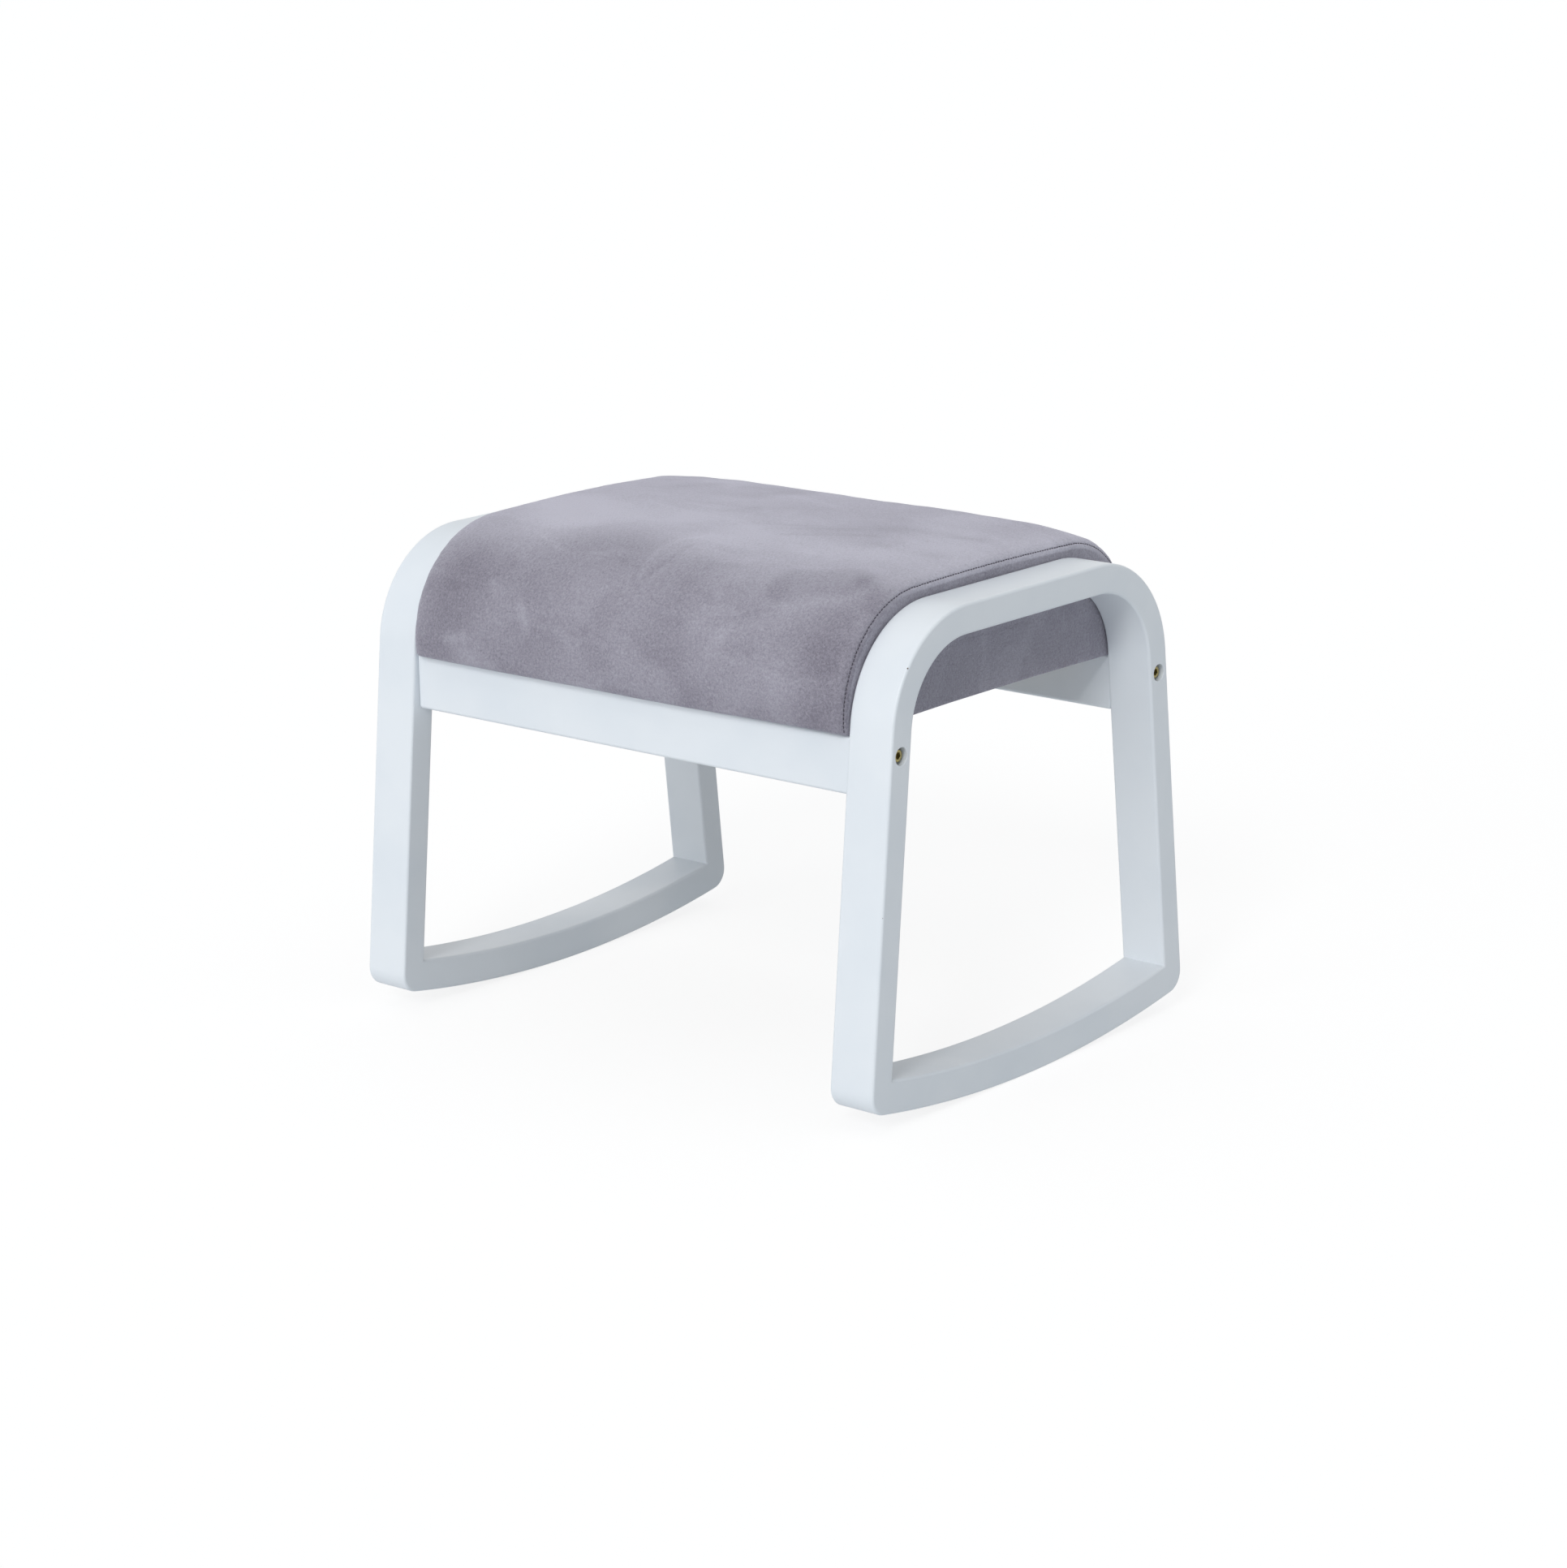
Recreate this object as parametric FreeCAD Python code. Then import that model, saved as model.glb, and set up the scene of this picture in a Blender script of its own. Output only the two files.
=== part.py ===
import FreeCAD, Part
import math
import os

from FreeCAD import Vector

# Rocking footstool: two closed side frames of bent laminated wood on curved rockers,
# two cross rails bolted between them, and an arched upholstered pad on the rails.
# Millimetres. X runs across the width, Y from front (-) to rear (+), Z up.
# The origin is on the floor, under the middle of the stool.

# Side frames
OVERALL_WIDTH = 540.0
BAND_WIDTH = 42.0
HOOP_HEIGHT = 395.0
FOOT_HALF_DEPTH = 208.0
LEG_SPLAY_DEG = 5.6
HOOP_THICKNESS = 24.0
HOOP_CORNER_RADIUS = 92.0
ROCKER_THICKNESS = 27.0
ROCKER_RADIUS = 1080.0
ROCKER_HEEL_RADIUS = 17.0
FRAME_EDGE_ROUNDING = 2.5
EDGE_STRIPS = 2

# Loose tenons between leg and rocker, and between rail and leg
TENON_THICKNESS = 6.0
TENON_SIDE_GAP = 0.1
TENON_END_GAP = 0.5
ROCKER_TENON_WIDTH = 26.0
ROCKER_TENON_IN_LEG = 20.0
ROCKER_TENON_IN_ROCKER = 14.0
RAIL_TENON_WIDTH = 18.0
RAIL_TENON_IN_LEG = 16.0
RAIL_TENON_IN_RAIL = 20.0
RAIL_TENON_DROP = 22.0

# Cross rails
RAIL_TOP_DROP = 91.5
RAIL_HEIGHT = 46.0
RAIL_THICKNESS = 16.0
RAIL_EDGE_ROUNDING = 3.0

# Joint bolts, one at each rail end, with a washer and a barrel nut
BOLT_DROP = 10.5
BOLT_DIAMETER = 6.0
BOLT_LENGTH = 65.0
BOLT_HEAD_DIAMETER = 10.0
BOLT_HEAD_HEIGHT = 6.0
BOLT_SOCKET_FLATS = 5.0
BOLT_SOCKET_DEPTH = 3.5
BOLT_HEAD_RECESS = 3.2
BOLT_HOLE_GAP = 0.4
COUNTERBORE_DIAMETER = 14.0
WASHER_DIAMETER = 12.0
WASHER_THICKNESS = 1.6
WASHER_HOLE_GAP = 0.2
BARREL_NUT_DIAMETER = 10.0
BARREL_NUT_LENGTH = 12.0
BARREL_NUT_INSET = 28.5
BARREL_NUT_WALL = 1.0
BARREL_NUT_GAP = 0.15
THREAD_GAP = 0.05

# Upholstered pad: outer form
PAD_SIDE_GAP = 0.4
PAD_OVERHANG = 6.0
PAD_RISE = 14.6
PAD_CROWN = 7.5
PAD_BELLY_SIDE = 1.0
PAD_BELLY_MIDDLE = 3.0
PAD_CORNER_RADIUS = 93.0
PAD_TOP_RADIUS_SIDE = 3000.0
PAD_TOP_RADIUS_MIDDLE = 1500.0
PAD_SHOULDER_RADIUS = 8.0
CROWN_POWER = 6.0
CROWN_STRIPS = 4
SHOULDER_STRIPS = 2

# Upholstered pad: cover, foam and board
COVER_THICKNESS = 1.5
FOAM_GAP = 0.3
BOARD_EDGE_GAP = 3.0
HEM_WIDTH = 30.0
BOARD_THICKNESS = 12.0
BOARD_CORNER_CHAMFER = 8.0
DUST_COVER_THICKNESS = 0.8
DUST_COVER_GAP = 2.0

# Cleats on the rails, and the screws that hold the pad on them
CLEAT_LENGTH = 300.0
CLEAT_SIZE = 18.0
CLEAT_HEM_GAP = 0.5
SCREW_OFFSET = 100.0
SCREW_DIAMETER = 4.0
SCREW_HOLE_GAP = 0.15
SCREW_HEAD_DIAMETER = 8.0
SCREW_HEAD_HEIGHT = 2.2
SCREW_LENGTH = 27.0

# Worked out from the sizes above
HALF_WIDTH = OVERALL_WIDTH / 2
FRAME_INNER_X = HALF_WIDTH - BAND_WIDTH
BAND_MIDDLE_X = HALF_WIDTH - BAND_WIDTH / 2
SPLAY = math.radians(LEG_SPLAY_DEG)
SPLAY_SLOPE = math.tan(SPLAY)
RAIL_TOP = HOOP_HEIGHT - RAIL_TOP_DROP
BOLT_HEIGHT = RAIL_TOP - BOLT_DROP
COUNTERBORE_DEPTH = BOLT_HEAD_RECESS + BOLT_HEAD_HEIGHT + WASHER_THICKNESS
PAD_HALF_WIDTH = FRAME_INNER_X - PAD_SIDE_GAP
COVER_INNER_X = PAD_HALF_WIDTH - COVER_THICKNESS
PAD_BOTTOM = RAIL_TOP
BOARD_BOTTOM = PAD_BOTTOM + COVER_THICKNESS
BOARD_TOP = BOARD_BOTTOM + BOARD_THICKNESS
FOAM_INSET = COVER_THICKNESS + FOAM_GAP


def leg_outer_y(height):
    """Half depth of the frame at the outer face of a leg, at a height."""
    return FOOT_HALF_DEPTH - SPLAY_SLOPE * height


def leg_middle_y(height):
    """Half depth of the frame at the middle of a leg, at a height."""
    return leg_outer_y(height) - HOOP_THICKNESS / 2 / math.cos(SPLAY)


RAIL_MIDDLE_Y = leg_middle_y(BOLT_HEIGHT)
RAIL_INNER_Y = RAIL_MIDDLE_Y - RAIL_THICKNESS / 2
PAD_HALF_DEPTH = leg_outer_y(PAD_BOTTOM) + PAD_OVERHANG
BOARD_HALF_DEPTH = PAD_HALF_DEPTH - COVER_THICKNESS - BOARD_EDGE_GAP


def line(a, b):
    return Part.LineSegment(a, b).toShape()


def arc(a, middle, b):
    return Part.Arc(a, middle, b).toShape()


def arc_about(centre, radius, a, b):
    """Shorter arc about a centre in the YZ plane, from point a to point b."""
    middle = (a - centre).normalize() + (b - centre).normalize()
    return arc(a, centre + middle.normalize() * radius, b)


def mirrored(point):
    """The same point on the other side of the XZ plane."""
    return Vector(point.x, -point.y, point.z)


def yz(y, z, x=0.0):
    return Vector(x, y, z)


def cylinder(radius, length, start, direction):
    return Part.makeCylinder(radius, length, start, direction)


def box(low, high):
    size = high - low
    return Part.makeBox(size.x, size.y, size.z, low)


def mirror(shape, normal):
    """Mirror image of a shape in a plane through the origin."""
    return shape.mirror(Vector(0, 0, 0), normal)


def both_ends(shape):
    """A shape and its mirror image on the other side frame."""
    return [shape, mirror(shape, Vector(1, 0, 0))]


def four_corners(shape):
    """A shape in the front right corner of the stool, and its three mirror images."""
    pair = both_ends(shape)
    return pair + [mirror(each, Vector(0, 1, 0)) for each in pair]


def cut_all(shape, tools):
    return shape.cut(Part.makeCompound(tools))


def save(name, shape):
    """Write one sub-part as a solid, or as a group of separate solids."""
    solids = shape if isinstance(shape, list) else shape.Solids
    result = solids[0] if len(solids) == 1 else Part.makeCompound(solids)
    result.exportStep("parts/" + name + ".step")
    volume = sum(solid.Volume for solid in solids) / 1000
    print(name, len(solids), "solids", round(volume, 2), "cm3", "valid", result.isValid())


# Side frame outline


def leg_inset_point(inset, radius):
    """Height where the leg's outer line, moved inwards, meets a circle about the rocker centre."""
    depth = FOOT_HALF_DEPTH - inset / math.cos(SPLAY)
    a = SPLAY_SLOPE**2 + 1
    b = depth * SPLAY_SLOPE + ROCKER_RADIUS
    c = depth**2 + ROCKER_RADIUS**2 - radius**2
    height = (b - math.sqrt(b**2 - a * c)) / a
    return yz(-(depth - SPLAY_SLOPE * height), height)


def leg_outward():
    """Unit vector square to the front leg, pointing forwards."""
    return yz(-math.cos(SPLAY), math.sin(SPLAY))


def leg_down():
    """Unit vector along the front leg, pointing to the floor."""
    return yz(-math.sin(SPLAY), -math.cos(SPLAY))


def hoop_corner_centre():
    height = HOOP_HEIGHT - HOOP_CORNER_RADIUS
    return yz(-leg_outer_y(height) + HOOP_CORNER_RADIUS / math.cos(SPLAY), height)


def inner_foot():
    """Sharp inner corner where the front leg meets the top of the rocker."""
    return leg_inset_point(HOOP_THICKNESS, ROCKER_RADIUS - ROCKER_THICKNESS)


def loop(x, inset, foot, bottom_edges):
    """Closed outline through a leg's foot, parallel to the hoop's outside at an inset."""
    centre = hoop_corner_centre()
    radius = HOOP_CORNER_RADIUS - inset
    shoulder = centre + leg_outward() * radius
    crest = yz(centre.y, HOOP_HEIGHT - inset)
    edges = [
        line(foot, shoulder),
        arc_about(centre, radius, shoulder, crest),
        line(crest, mirrored(crest)),
        arc_about(mirrored(centre), radius, mirrored(crest), mirrored(shoulder)),
        line(mirrored(shoulder), mirrored(foot)),
    ]
    wire = Part.Wire(edges + bottom_edges)
    wire.translate(Vector(x, 0, 0))
    return wire


def outer_outline(x, drawn):
    """Outside of the frame at a place across its width, drawn in by its edge rounding."""
    rocker_centre = yz(0, ROCKER_RADIUS)
    heel = leg_inset_point(ROCKER_HEEL_RADIUS, ROCKER_RADIUS - ROCKER_HEEL_RADIUS)
    radius = ROCKER_HEEL_RADIUS - drawn
    on_leg = heel + leg_outward() * radius
    on_rocker = rocker_centre + (heel - rocker_centre).normalize() * (ROCKER_RADIUS - drawn)
    bottom = [
        arc_about(mirrored(heel), radius, mirrored(on_leg), mirrored(on_rocker)),
        arc(mirrored(on_rocker), yz(0, drawn), on_rocker),
        arc_about(heel, radius, on_rocker, on_leg),
    ]
    return loop(x, drawn, on_leg, bottom)


def inner_outline(x, drawn):
    """Window of the frame at a place across its width, widened by its edge rounding."""
    thickness = ROCKER_THICKNESS - drawn
    inset = HOOP_THICKNESS - drawn
    foot = leg_inset_point(inset, ROCKER_RADIUS - thickness)
    return loop(x, inset, foot, [arc(mirrored(foot), yz(0, thickness), foot)])


def frame_stations():
    """Places across the band, each with how far its rounded edges have drawn in."""
    edge = []
    for step in range(EDGE_STRIPS + 1):
        turn = math.pi / 2 * step / EDGE_STRIPS
        across = FRAME_EDGE_ROUNDING * (1 - math.sin(turn))
        edge.append((across, FRAME_EDGE_ROUNDING * (1 - math.cos(turn))))
    inner = [(FRAME_INNER_X + across, drawn) for across, drawn in reversed(edge)]
    outer = [(HALF_WIDTH - across, drawn) for across, drawn in edge]
    return inner + outer


def side_frame():
    """Closed side frame of the right side, in one piece, with its long edges rounded."""
    places = frame_stations()
    outside = Part.makeLoft([outer_outline(x, drawn) for x, drawn in places], True, True)
    window = Part.makeLoft([inner_outline(x, drawn) for x, drawn in places], True, True)
    return outside.cut(window)


def rocker_zone():
    """Space below the two joints, each square to its leg."""
    reach = HOOP_THICKNESS * 3
    foot = inner_foot()
    front = foot + leg_outward() * reach
    low = -ROCKER_THICKNESS
    corners = [
        front,
        foot,
        mirrored(foot),
        mirrored(front),
        yz(-front.y, low),
        yz(front.y, low),
    ]
    face = Part.Face(Part.makePolygon(corners + [corners[0]]))
    face.translate(Vector(FRAME_INNER_X - BAND_WIDTH, 0, 0))
    return face.extrude(Vector(BAND_WIDTH * 3, 0, 0))


# Loose tenons and their mortises


def flat_bar(start, along, across, length, thickness, width):
    """Rectangular bar from a point, with its thickness along a second direction."""
    side = along.cross(across) * width
    corner = start - across * (thickness / 2) - side / 2
    face_edge = corner + across * thickness
    points = [corner, face_edge, face_edge + side, corner + side, corner]
    return Part.Face(Part.makePolygon(points)).extrude(along * length)


def tenon(start, along, across, length, width):
    return flat_bar(start, along, across, length, TENON_THICKNESS, width)


def mortise(start, along, across, length, width):
    """Slot for a loose tenon, wider than the tenon and longer at both ends."""
    begin = start - along * TENON_END_GAP
    thickness = TENON_THICKNESS + 2 * TENON_SIDE_GAP
    slot_width = width + 2 * TENON_SIDE_GAP
    return flat_bar(begin, along, across, length + 2 * TENON_END_GAP, thickness, slot_width)


def rocker_tenon(maker):
    """The tenon, or its mortise, between the right side's front leg and rocker."""
    middle = inner_foot() + leg_outward() * (HOOP_THICKNESS / 2)
    top = middle - leg_down() * ROCKER_TENON_IN_LEG + Vector(BAND_MIDDLE_X, 0, 0)
    length = ROCKER_TENON_IN_LEG + ROCKER_TENON_IN_ROCKER
    return maker(top, leg_down(), leg_outward(), length, ROCKER_TENON_WIDTH)


def rail_tenon(maker):
    """The tenon, or its mortise, in the right end of the front rail."""
    height = BOLT_HEIGHT - RAIL_TENON_DROP
    start = Vector(FRAME_INNER_X - RAIL_TENON_IN_RAIL, -RAIL_MIDDLE_Y, height)
    length = RAIL_TENON_IN_RAIL + RAIL_TENON_IN_LEG
    return maker(start, Vector(1, 0, 0), Vector(0, 1, 0), length, RAIL_TENON_WIDTH)


# Joint bolts


def bolt_point(x):
    """Point on the axis of the bolt in the right end of the front rail."""
    return Vector(x, -RAIL_MIDDLE_Y, BOLT_HEIGHT)


WASHER_SEAT_X = HALF_WIDTH - COUNTERBORE_DEPTH
BOLT_SEAT_X = WASHER_SEAT_X + WASHER_THICKNESS
BARREL_NUT_X = FRAME_INNER_X - BARREL_NUT_INSET


def joint_bolt():
    """Socket head bolt, its head towards the outer face of the side frame."""
    inwards = Vector(-1, 0, 0)
    shank = cylinder(BOLT_DIAMETER / 2, BOLT_LENGTH, bolt_point(BOLT_SEAT_X), inwards)
    head = cylinder(BOLT_HEAD_DIAMETER / 2, BOLT_HEAD_HEIGHT, bolt_point(BOLT_SEAT_X), -inwards)
    face_x = BOLT_SEAT_X + BOLT_HEAD_HEIGHT
    corner_radius = BOLT_SOCKET_FLATS / math.sqrt(3)
    corners = []
    for step in range(7):
        angle = math.radians(60 * step)
        offset = yz(corner_radius * math.cos(angle), corner_radius * math.sin(angle))
        corners.append(bolt_point(face_x) + offset)
    socket = Part.Face(Part.makePolygon(corners)).extrude(inwards * BOLT_SOCKET_DEPTH)
    return head.fuse(shank).removeSplitter().cut(socket)


def bolt_washer():
    outwards = Vector(1, 0, 0)
    disc = cylinder(WASHER_DIAMETER / 2, WASHER_THICKNESS, bolt_point(WASHER_SEAT_X), outwards)
    hole = BOLT_DIAMETER / 2 + WASHER_HOLE_GAP
    return disc.cut(cylinder(hole, WASHER_THICKNESS, bolt_point(WASHER_SEAT_X), outwards))


def barrel_nut():
    """Upright cross nut in the rail, with a blind threaded hole for the bolt."""
    middle = bolt_point(BARREL_NUT_X)
    start = middle - Vector(0, 0, BARREL_NUT_LENGTH / 2)
    body = cylinder(BARREL_NUT_DIAMETER / 2, BARREL_NUT_LENGTH, start, Vector(0, 0, 1))
    blind_end = middle - Vector(BARREL_NUT_DIAMETER / 2 - BARREL_NUT_WALL, 0, 0)
    radius = BOLT_DIAMETER / 2 + THREAD_GAP
    return body.cut(cylinder(radius, BARREL_NUT_DIAMETER, blind_end, Vector(1, 0, 0)))


def bolt_holes():
    """Counterbore and shank hole for the bolt, through the leg and into the rail."""
    inwards = Vector(-1, 0, 0)
    bore = cylinder(COUNTERBORE_DIAMETER / 2, COUNTERBORE_DEPTH, bolt_point(HALF_WIDTH), inwards)
    radius = BOLT_DIAMETER / 2 + BOLT_HOLE_GAP
    shank = cylinder(radius, BOLT_LENGTH + BOLT_HOLE_GAP, bolt_point(BOLT_SEAT_X), inwards)
    return [bore, shank]


def barrel_nut_hole():
    """Blind hole for the barrel nut, from the top of the front rail, under the pad."""
    radius = BARREL_NUT_DIAMETER / 2 + BARREL_NUT_GAP
    depth = BOLT_DROP + BARREL_NUT_LENGTH / 2 + BARREL_NUT_GAP
    start = Vector(BARREL_NUT_X, -RAIL_MIDDLE_Y, RAIL_TOP)
    return cylinder(radius, depth, start, Vector(0, 0, -1))


# Front cleat and its right screw


def front_cleat():
    """Batten on the inner face of the front rail, up to the underside of the board."""
    low = Vector(-CLEAT_LENGTH / 2, -RAIL_INNER_Y, BOARD_BOTTOM - CLEAT_SIZE)
    high = Vector(CLEAT_LENGTH / 2, CLEAT_SIZE - RAIL_INNER_Y, BOARD_BOTTOM)
    return cut_all(box(low, high), both_ends(screw_hole()))


def screw_seat():
    """Point under the cleat where the screw's head sits."""
    return Vector(SCREW_OFFSET, CLEAT_SIZE / 2 - RAIL_INNER_Y, BOARD_BOTTOM - CLEAT_SIZE)


def pad_screw():
    """Flat headed screw, up through the cleat into the board."""
    up = Vector(0, 0, 1)
    shank = cylinder(SCREW_DIAMETER / 2, SCREW_LENGTH, screw_seat(), up)
    head = cylinder(SCREW_HEAD_DIAMETER / 2, SCREW_HEAD_HEIGHT, screw_seat(), -up)
    return head.fuse(shank)


def screw_hole():
    radius = SCREW_DIAMETER / 2 + SCREW_HOLE_GAP
    return cylinder(radius, SCREW_LENGTH + SCREW_HOLE_GAP, screw_seat(), Vector(0, 0, 1))


# Upholstered pad


def crown_share(x):
    """1 in the middle of the pad and 0 at its sides, flat over most of the width."""
    return 1 - (abs(x) / PAD_HALF_WIDTH) ** CROWN_POWER


def pad_profile(x, inset, bottom):
    """Arched outline of the pad in the YZ plane at a place across its width."""
    share = crown_share(x)
    belly = PAD_BELLY_SIDE + (PAD_BELLY_MIDDLE - PAD_BELLY_SIDE) * share
    curvature = (1 - share) / PAD_TOP_RADIUS_SIDE + share / PAD_TOP_RADIUS_MIDDLE
    top = HOOP_HEIGHT + PAD_RISE + PAD_CROWN * share
    centre_y = PAD_HALF_DEPTH + belly - PAD_CORNER_RADIUS
    reach = 1 / curvature - PAD_CORNER_RADIUS
    top_centre = yz(0, top - 1 / curvature, x)
    centre = yz(-centre_y, top_centre.z + math.sqrt(reach**2 - centre_y**2), x)
    drop = centre.z - PAD_BOTTOM
    side_radius = (belly**2 + drop**2) / (2 * belly)
    side_centre = yz(side_radius - PAD_HALF_DEPTH - belly, centre.z, x)
    radius = PAD_CORNER_RADIUS - inset
    crest = yz(0, top - inset, x)
    on_top = centre + (centre - top_centre).normalize() * radius
    on_side = centre - yz(radius, 0)
    foot_reach = math.sqrt((side_radius - inset) ** 2 - (centre.z - bottom) ** 2)
    foot = yz(side_centre.y - foot_reach, bottom, x)
    edges = [
        arc_about(side_centre, side_radius - inset, foot, on_side),
        arc_about(centre, radius, on_side, on_top),
        arc(on_top, crest, mirrored(on_top)),
        arc_about(mirrored(centre), radius, mirrored(on_top), mirrored(on_side)),
        arc_about(mirrored(side_centre), side_radius - inset, mirrored(on_side), mirrored(foot)),
        line(mirrored(foot), foot),
    ]
    return Part.Wire(edges)


def pad_stations(half_width, shoulder):
    """Places across the width from side to side, each with how far the shoulder has drawn in."""
    flat = half_width - shoulder
    middle = [(0.0, 0.0)]
    outer = []
    for step in range(1, CROWN_STRIPS + 1):
        outer.append((flat * math.sin(math.pi / 2 * step / CROWN_STRIPS), 0.0))
    for step in range(1, SHOULDER_STRIPS + 1):
        turn = math.pi / 2 * step / SHOULDER_STRIPS
        outer.append((flat + shoulder * math.sin(turn), shoulder * (1 - math.cos(turn))))
    return [(-x, drawn) for x, drawn in reversed(outer)] + middle + outer


def pad_form(inset, half_width, bottom):
    """Crowned and arched block with rounded shoulders along its two sides."""
    wires = []
    for x, drawn in pad_stations(half_width, PAD_SHOULDER_RADIUS - inset):
        wires.append(pad_profile(x, inset + drawn, bottom))
    return Part.makeLoft(wires, True, True)


def hem_window():
    """Space inside the hem, under the board, just clear of the cleats."""
    reach_x = COVER_INNER_X - HEM_WIDTH
    reach_y = RAIL_INNER_Y + CLEAT_HEM_GAP
    low = Vector(-reach_x, -reach_y, PAD_BOTTOM - COVER_THICKNESS)
    high = Vector(reach_x, reach_y, BOARD_BOTTOM)
    return box(low, high)


def cover_shell():
    """Whole cover: the pad's outer skin, with a hem turned in under the board."""
    outer = pad_form(0.0, PAD_HALF_WIDTH, PAD_BOTTOM)
    inner = pad_form(COVER_THICKNESS, COVER_INNER_X, BOARD_BOTTOM)
    return outer.cut(inner).cut(hem_window())


def side_zone(sign):
    """Space that the right (1) or left (-1) side panel of the cover takes."""
    inner_x = COVER_INNER_X if sign > 0 else -HALF_WIDTH
    outer_x = HALF_WIDTH if sign > 0 else -COVER_INNER_X
    reach_y = PAD_HALF_DEPTH * 2
    low = Vector(inner_x, -reach_y, 0)
    high = Vector(outer_x, reach_y, 2 * HOOP_HEIGHT)
    return box(low, high)


def cover_pieces():
    """Top panel, and the right and left side panels, of the cover."""
    shell = cover_shell()
    right = side_zone(1)
    left = side_zone(-1)
    return cut_all(shell, [right, left]), shell.common(right), shell.common(left)


def seat_board():
    """Plywood base of the pad, with its corners cut off."""
    low = Vector(-COVER_INNER_X, -BOARD_HALF_DEPTH, BOARD_BOTTOM)
    high = Vector(COVER_INNER_X, BOARD_HALF_DEPTH, BOARD_TOP)
    board = box(low, high)
    corners = [edge for edge in board.Edges if edge.BoundBox.ZLength > BOARD_THICKNESS / 2]
    board = board.makeChamfer(BOARD_CORNER_CHAMFER, corners)
    return cut_all(board, four_corners(screw_hole()))


def foam_block():
    """Shaped foam that fills the cover above the board."""
    reach = PAD_HALF_DEPTH * 2
    under = box(Vector(-HALF_WIDTH, -reach, 0), Vector(HALF_WIDTH, reach, BOARD_TOP))
    return pad_form(FOAM_INSET, COVER_INNER_X - FOAM_GAP, BOARD_BOTTOM).cut(under)


def dust_cover():
    """Thin cloth under the board, inside the hem and between the cleats."""
    reach_y = RAIL_INNER_Y - CLEAT_SIZE - DUST_COVER_GAP
    reach_x = COVER_INNER_X - HEM_WIDTH - DUST_COVER_GAP
    low = Vector(-reach_x, -reach_y, BOARD_BOTTOM - DUST_COVER_THICKNESS)
    high = Vector(reach_x, reach_y, BOARD_BOTTOM)
    return box(low, high)


# Whole parts


def rail_section():
    """Rounded rectangle of the front rail at its left end."""
    reach_y = RAIL_THICKNESS / 2 - RAIL_EDGE_ROUNDING
    reach_z = RAIL_HEIGHT / 2 - RAIL_EDGE_ROUNDING
    points = []
    for quarter in range(4):
        side_y = reach_y if quarter in (0, 3) else -reach_y
        side_z = reach_z if quarter in (0, 1) else -reach_z
        centre = yz(side_y - RAIL_MIDDLE_Y, RAIL_TOP - RAIL_HEIGHT / 2 + side_z, -FRAME_INNER_X)
        for step in range(EDGE_STRIPS + 1):
            turn = math.pi / 2 * (quarter + step / EDGE_STRIPS)
            points.append(centre + yz(math.cos(turn), math.sin(turn)) * RAIL_EDGE_ROUNDING)
    return Part.Face(Part.makePolygon(points + [points[0]]))


def front_rail():
    rail = rail_section().extrude(Vector(2 * FRAME_INNER_X, 0, 0))
    holes = []
    for hole in bolt_holes() + [barrel_nut_hole(), rail_tenon(mortise)]:
        holes += both_ends(hole)
    return cut_all(rail, holes)


def right_frame_parts():
    """Hoop and rocker of the right side, with their holes."""
    frame = side_frame()
    zone = rocker_zone()
    front = bolt_holes() + [rail_tenon(mortise), rocker_tenon(mortise)]
    holes = front + [mirror(each, Vector(0, 1, 0)) for each in front]
    hoop = cut_all(frame.cut(zone), holes)
    rocker = cut_all(frame.common(zone), holes)
    return hoop, rocker


def build():
    """Make every sub-part and write it."""
    os.makedirs("parts", exist_ok=True)
    hoop, rocker = right_frame_parts()
    sideways = Vector(1, 0, 0)
    backwards = Vector(0, 1, 0)
    save("right_hoop", hoop)
    save("left_hoop", mirror(hoop, sideways))
    save("right_rocker", rocker)
    save("left_rocker", mirror(rocker, sideways))
    save("rocker_tenons", four_corners(rocker_tenon(tenon)))
    rail = front_rail()
    save("front_rail", rail)
    save("rear_rail", mirror(rail, backwards))
    save("rail_tenons", four_corners(rail_tenon(tenon)))
    save("joint_bolts", four_corners(joint_bolt()))
    save("bolt_washers", four_corners(bolt_washer()))
    save("barrel_nuts", four_corners(barrel_nut()))
    top_panel, right_panel, left_panel = cover_pieces()
    save("cover_top_panel", top_panel)
    save("right_cover_side", right_panel)
    save("left_cover_side", left_panel)
    save("foam_block", foam_block())
    save("seat_board", seat_board())
    save("dust_cover", dust_cover())
    cleat = front_cleat()
    save("seat_cleats", [cleat, mirror(cleat, backwards)])
    save("pad_screws", four_corners(pad_screw()))


build()
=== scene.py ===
import logging
import math
from collections.abc import Iterable
from dataclasses import dataclass
from enum import Enum

import bmesh
import bpy
import numpy as np
from mathutils import Matrix, Vector, noise
from mathutils.bvhtree import BVHTree


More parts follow.
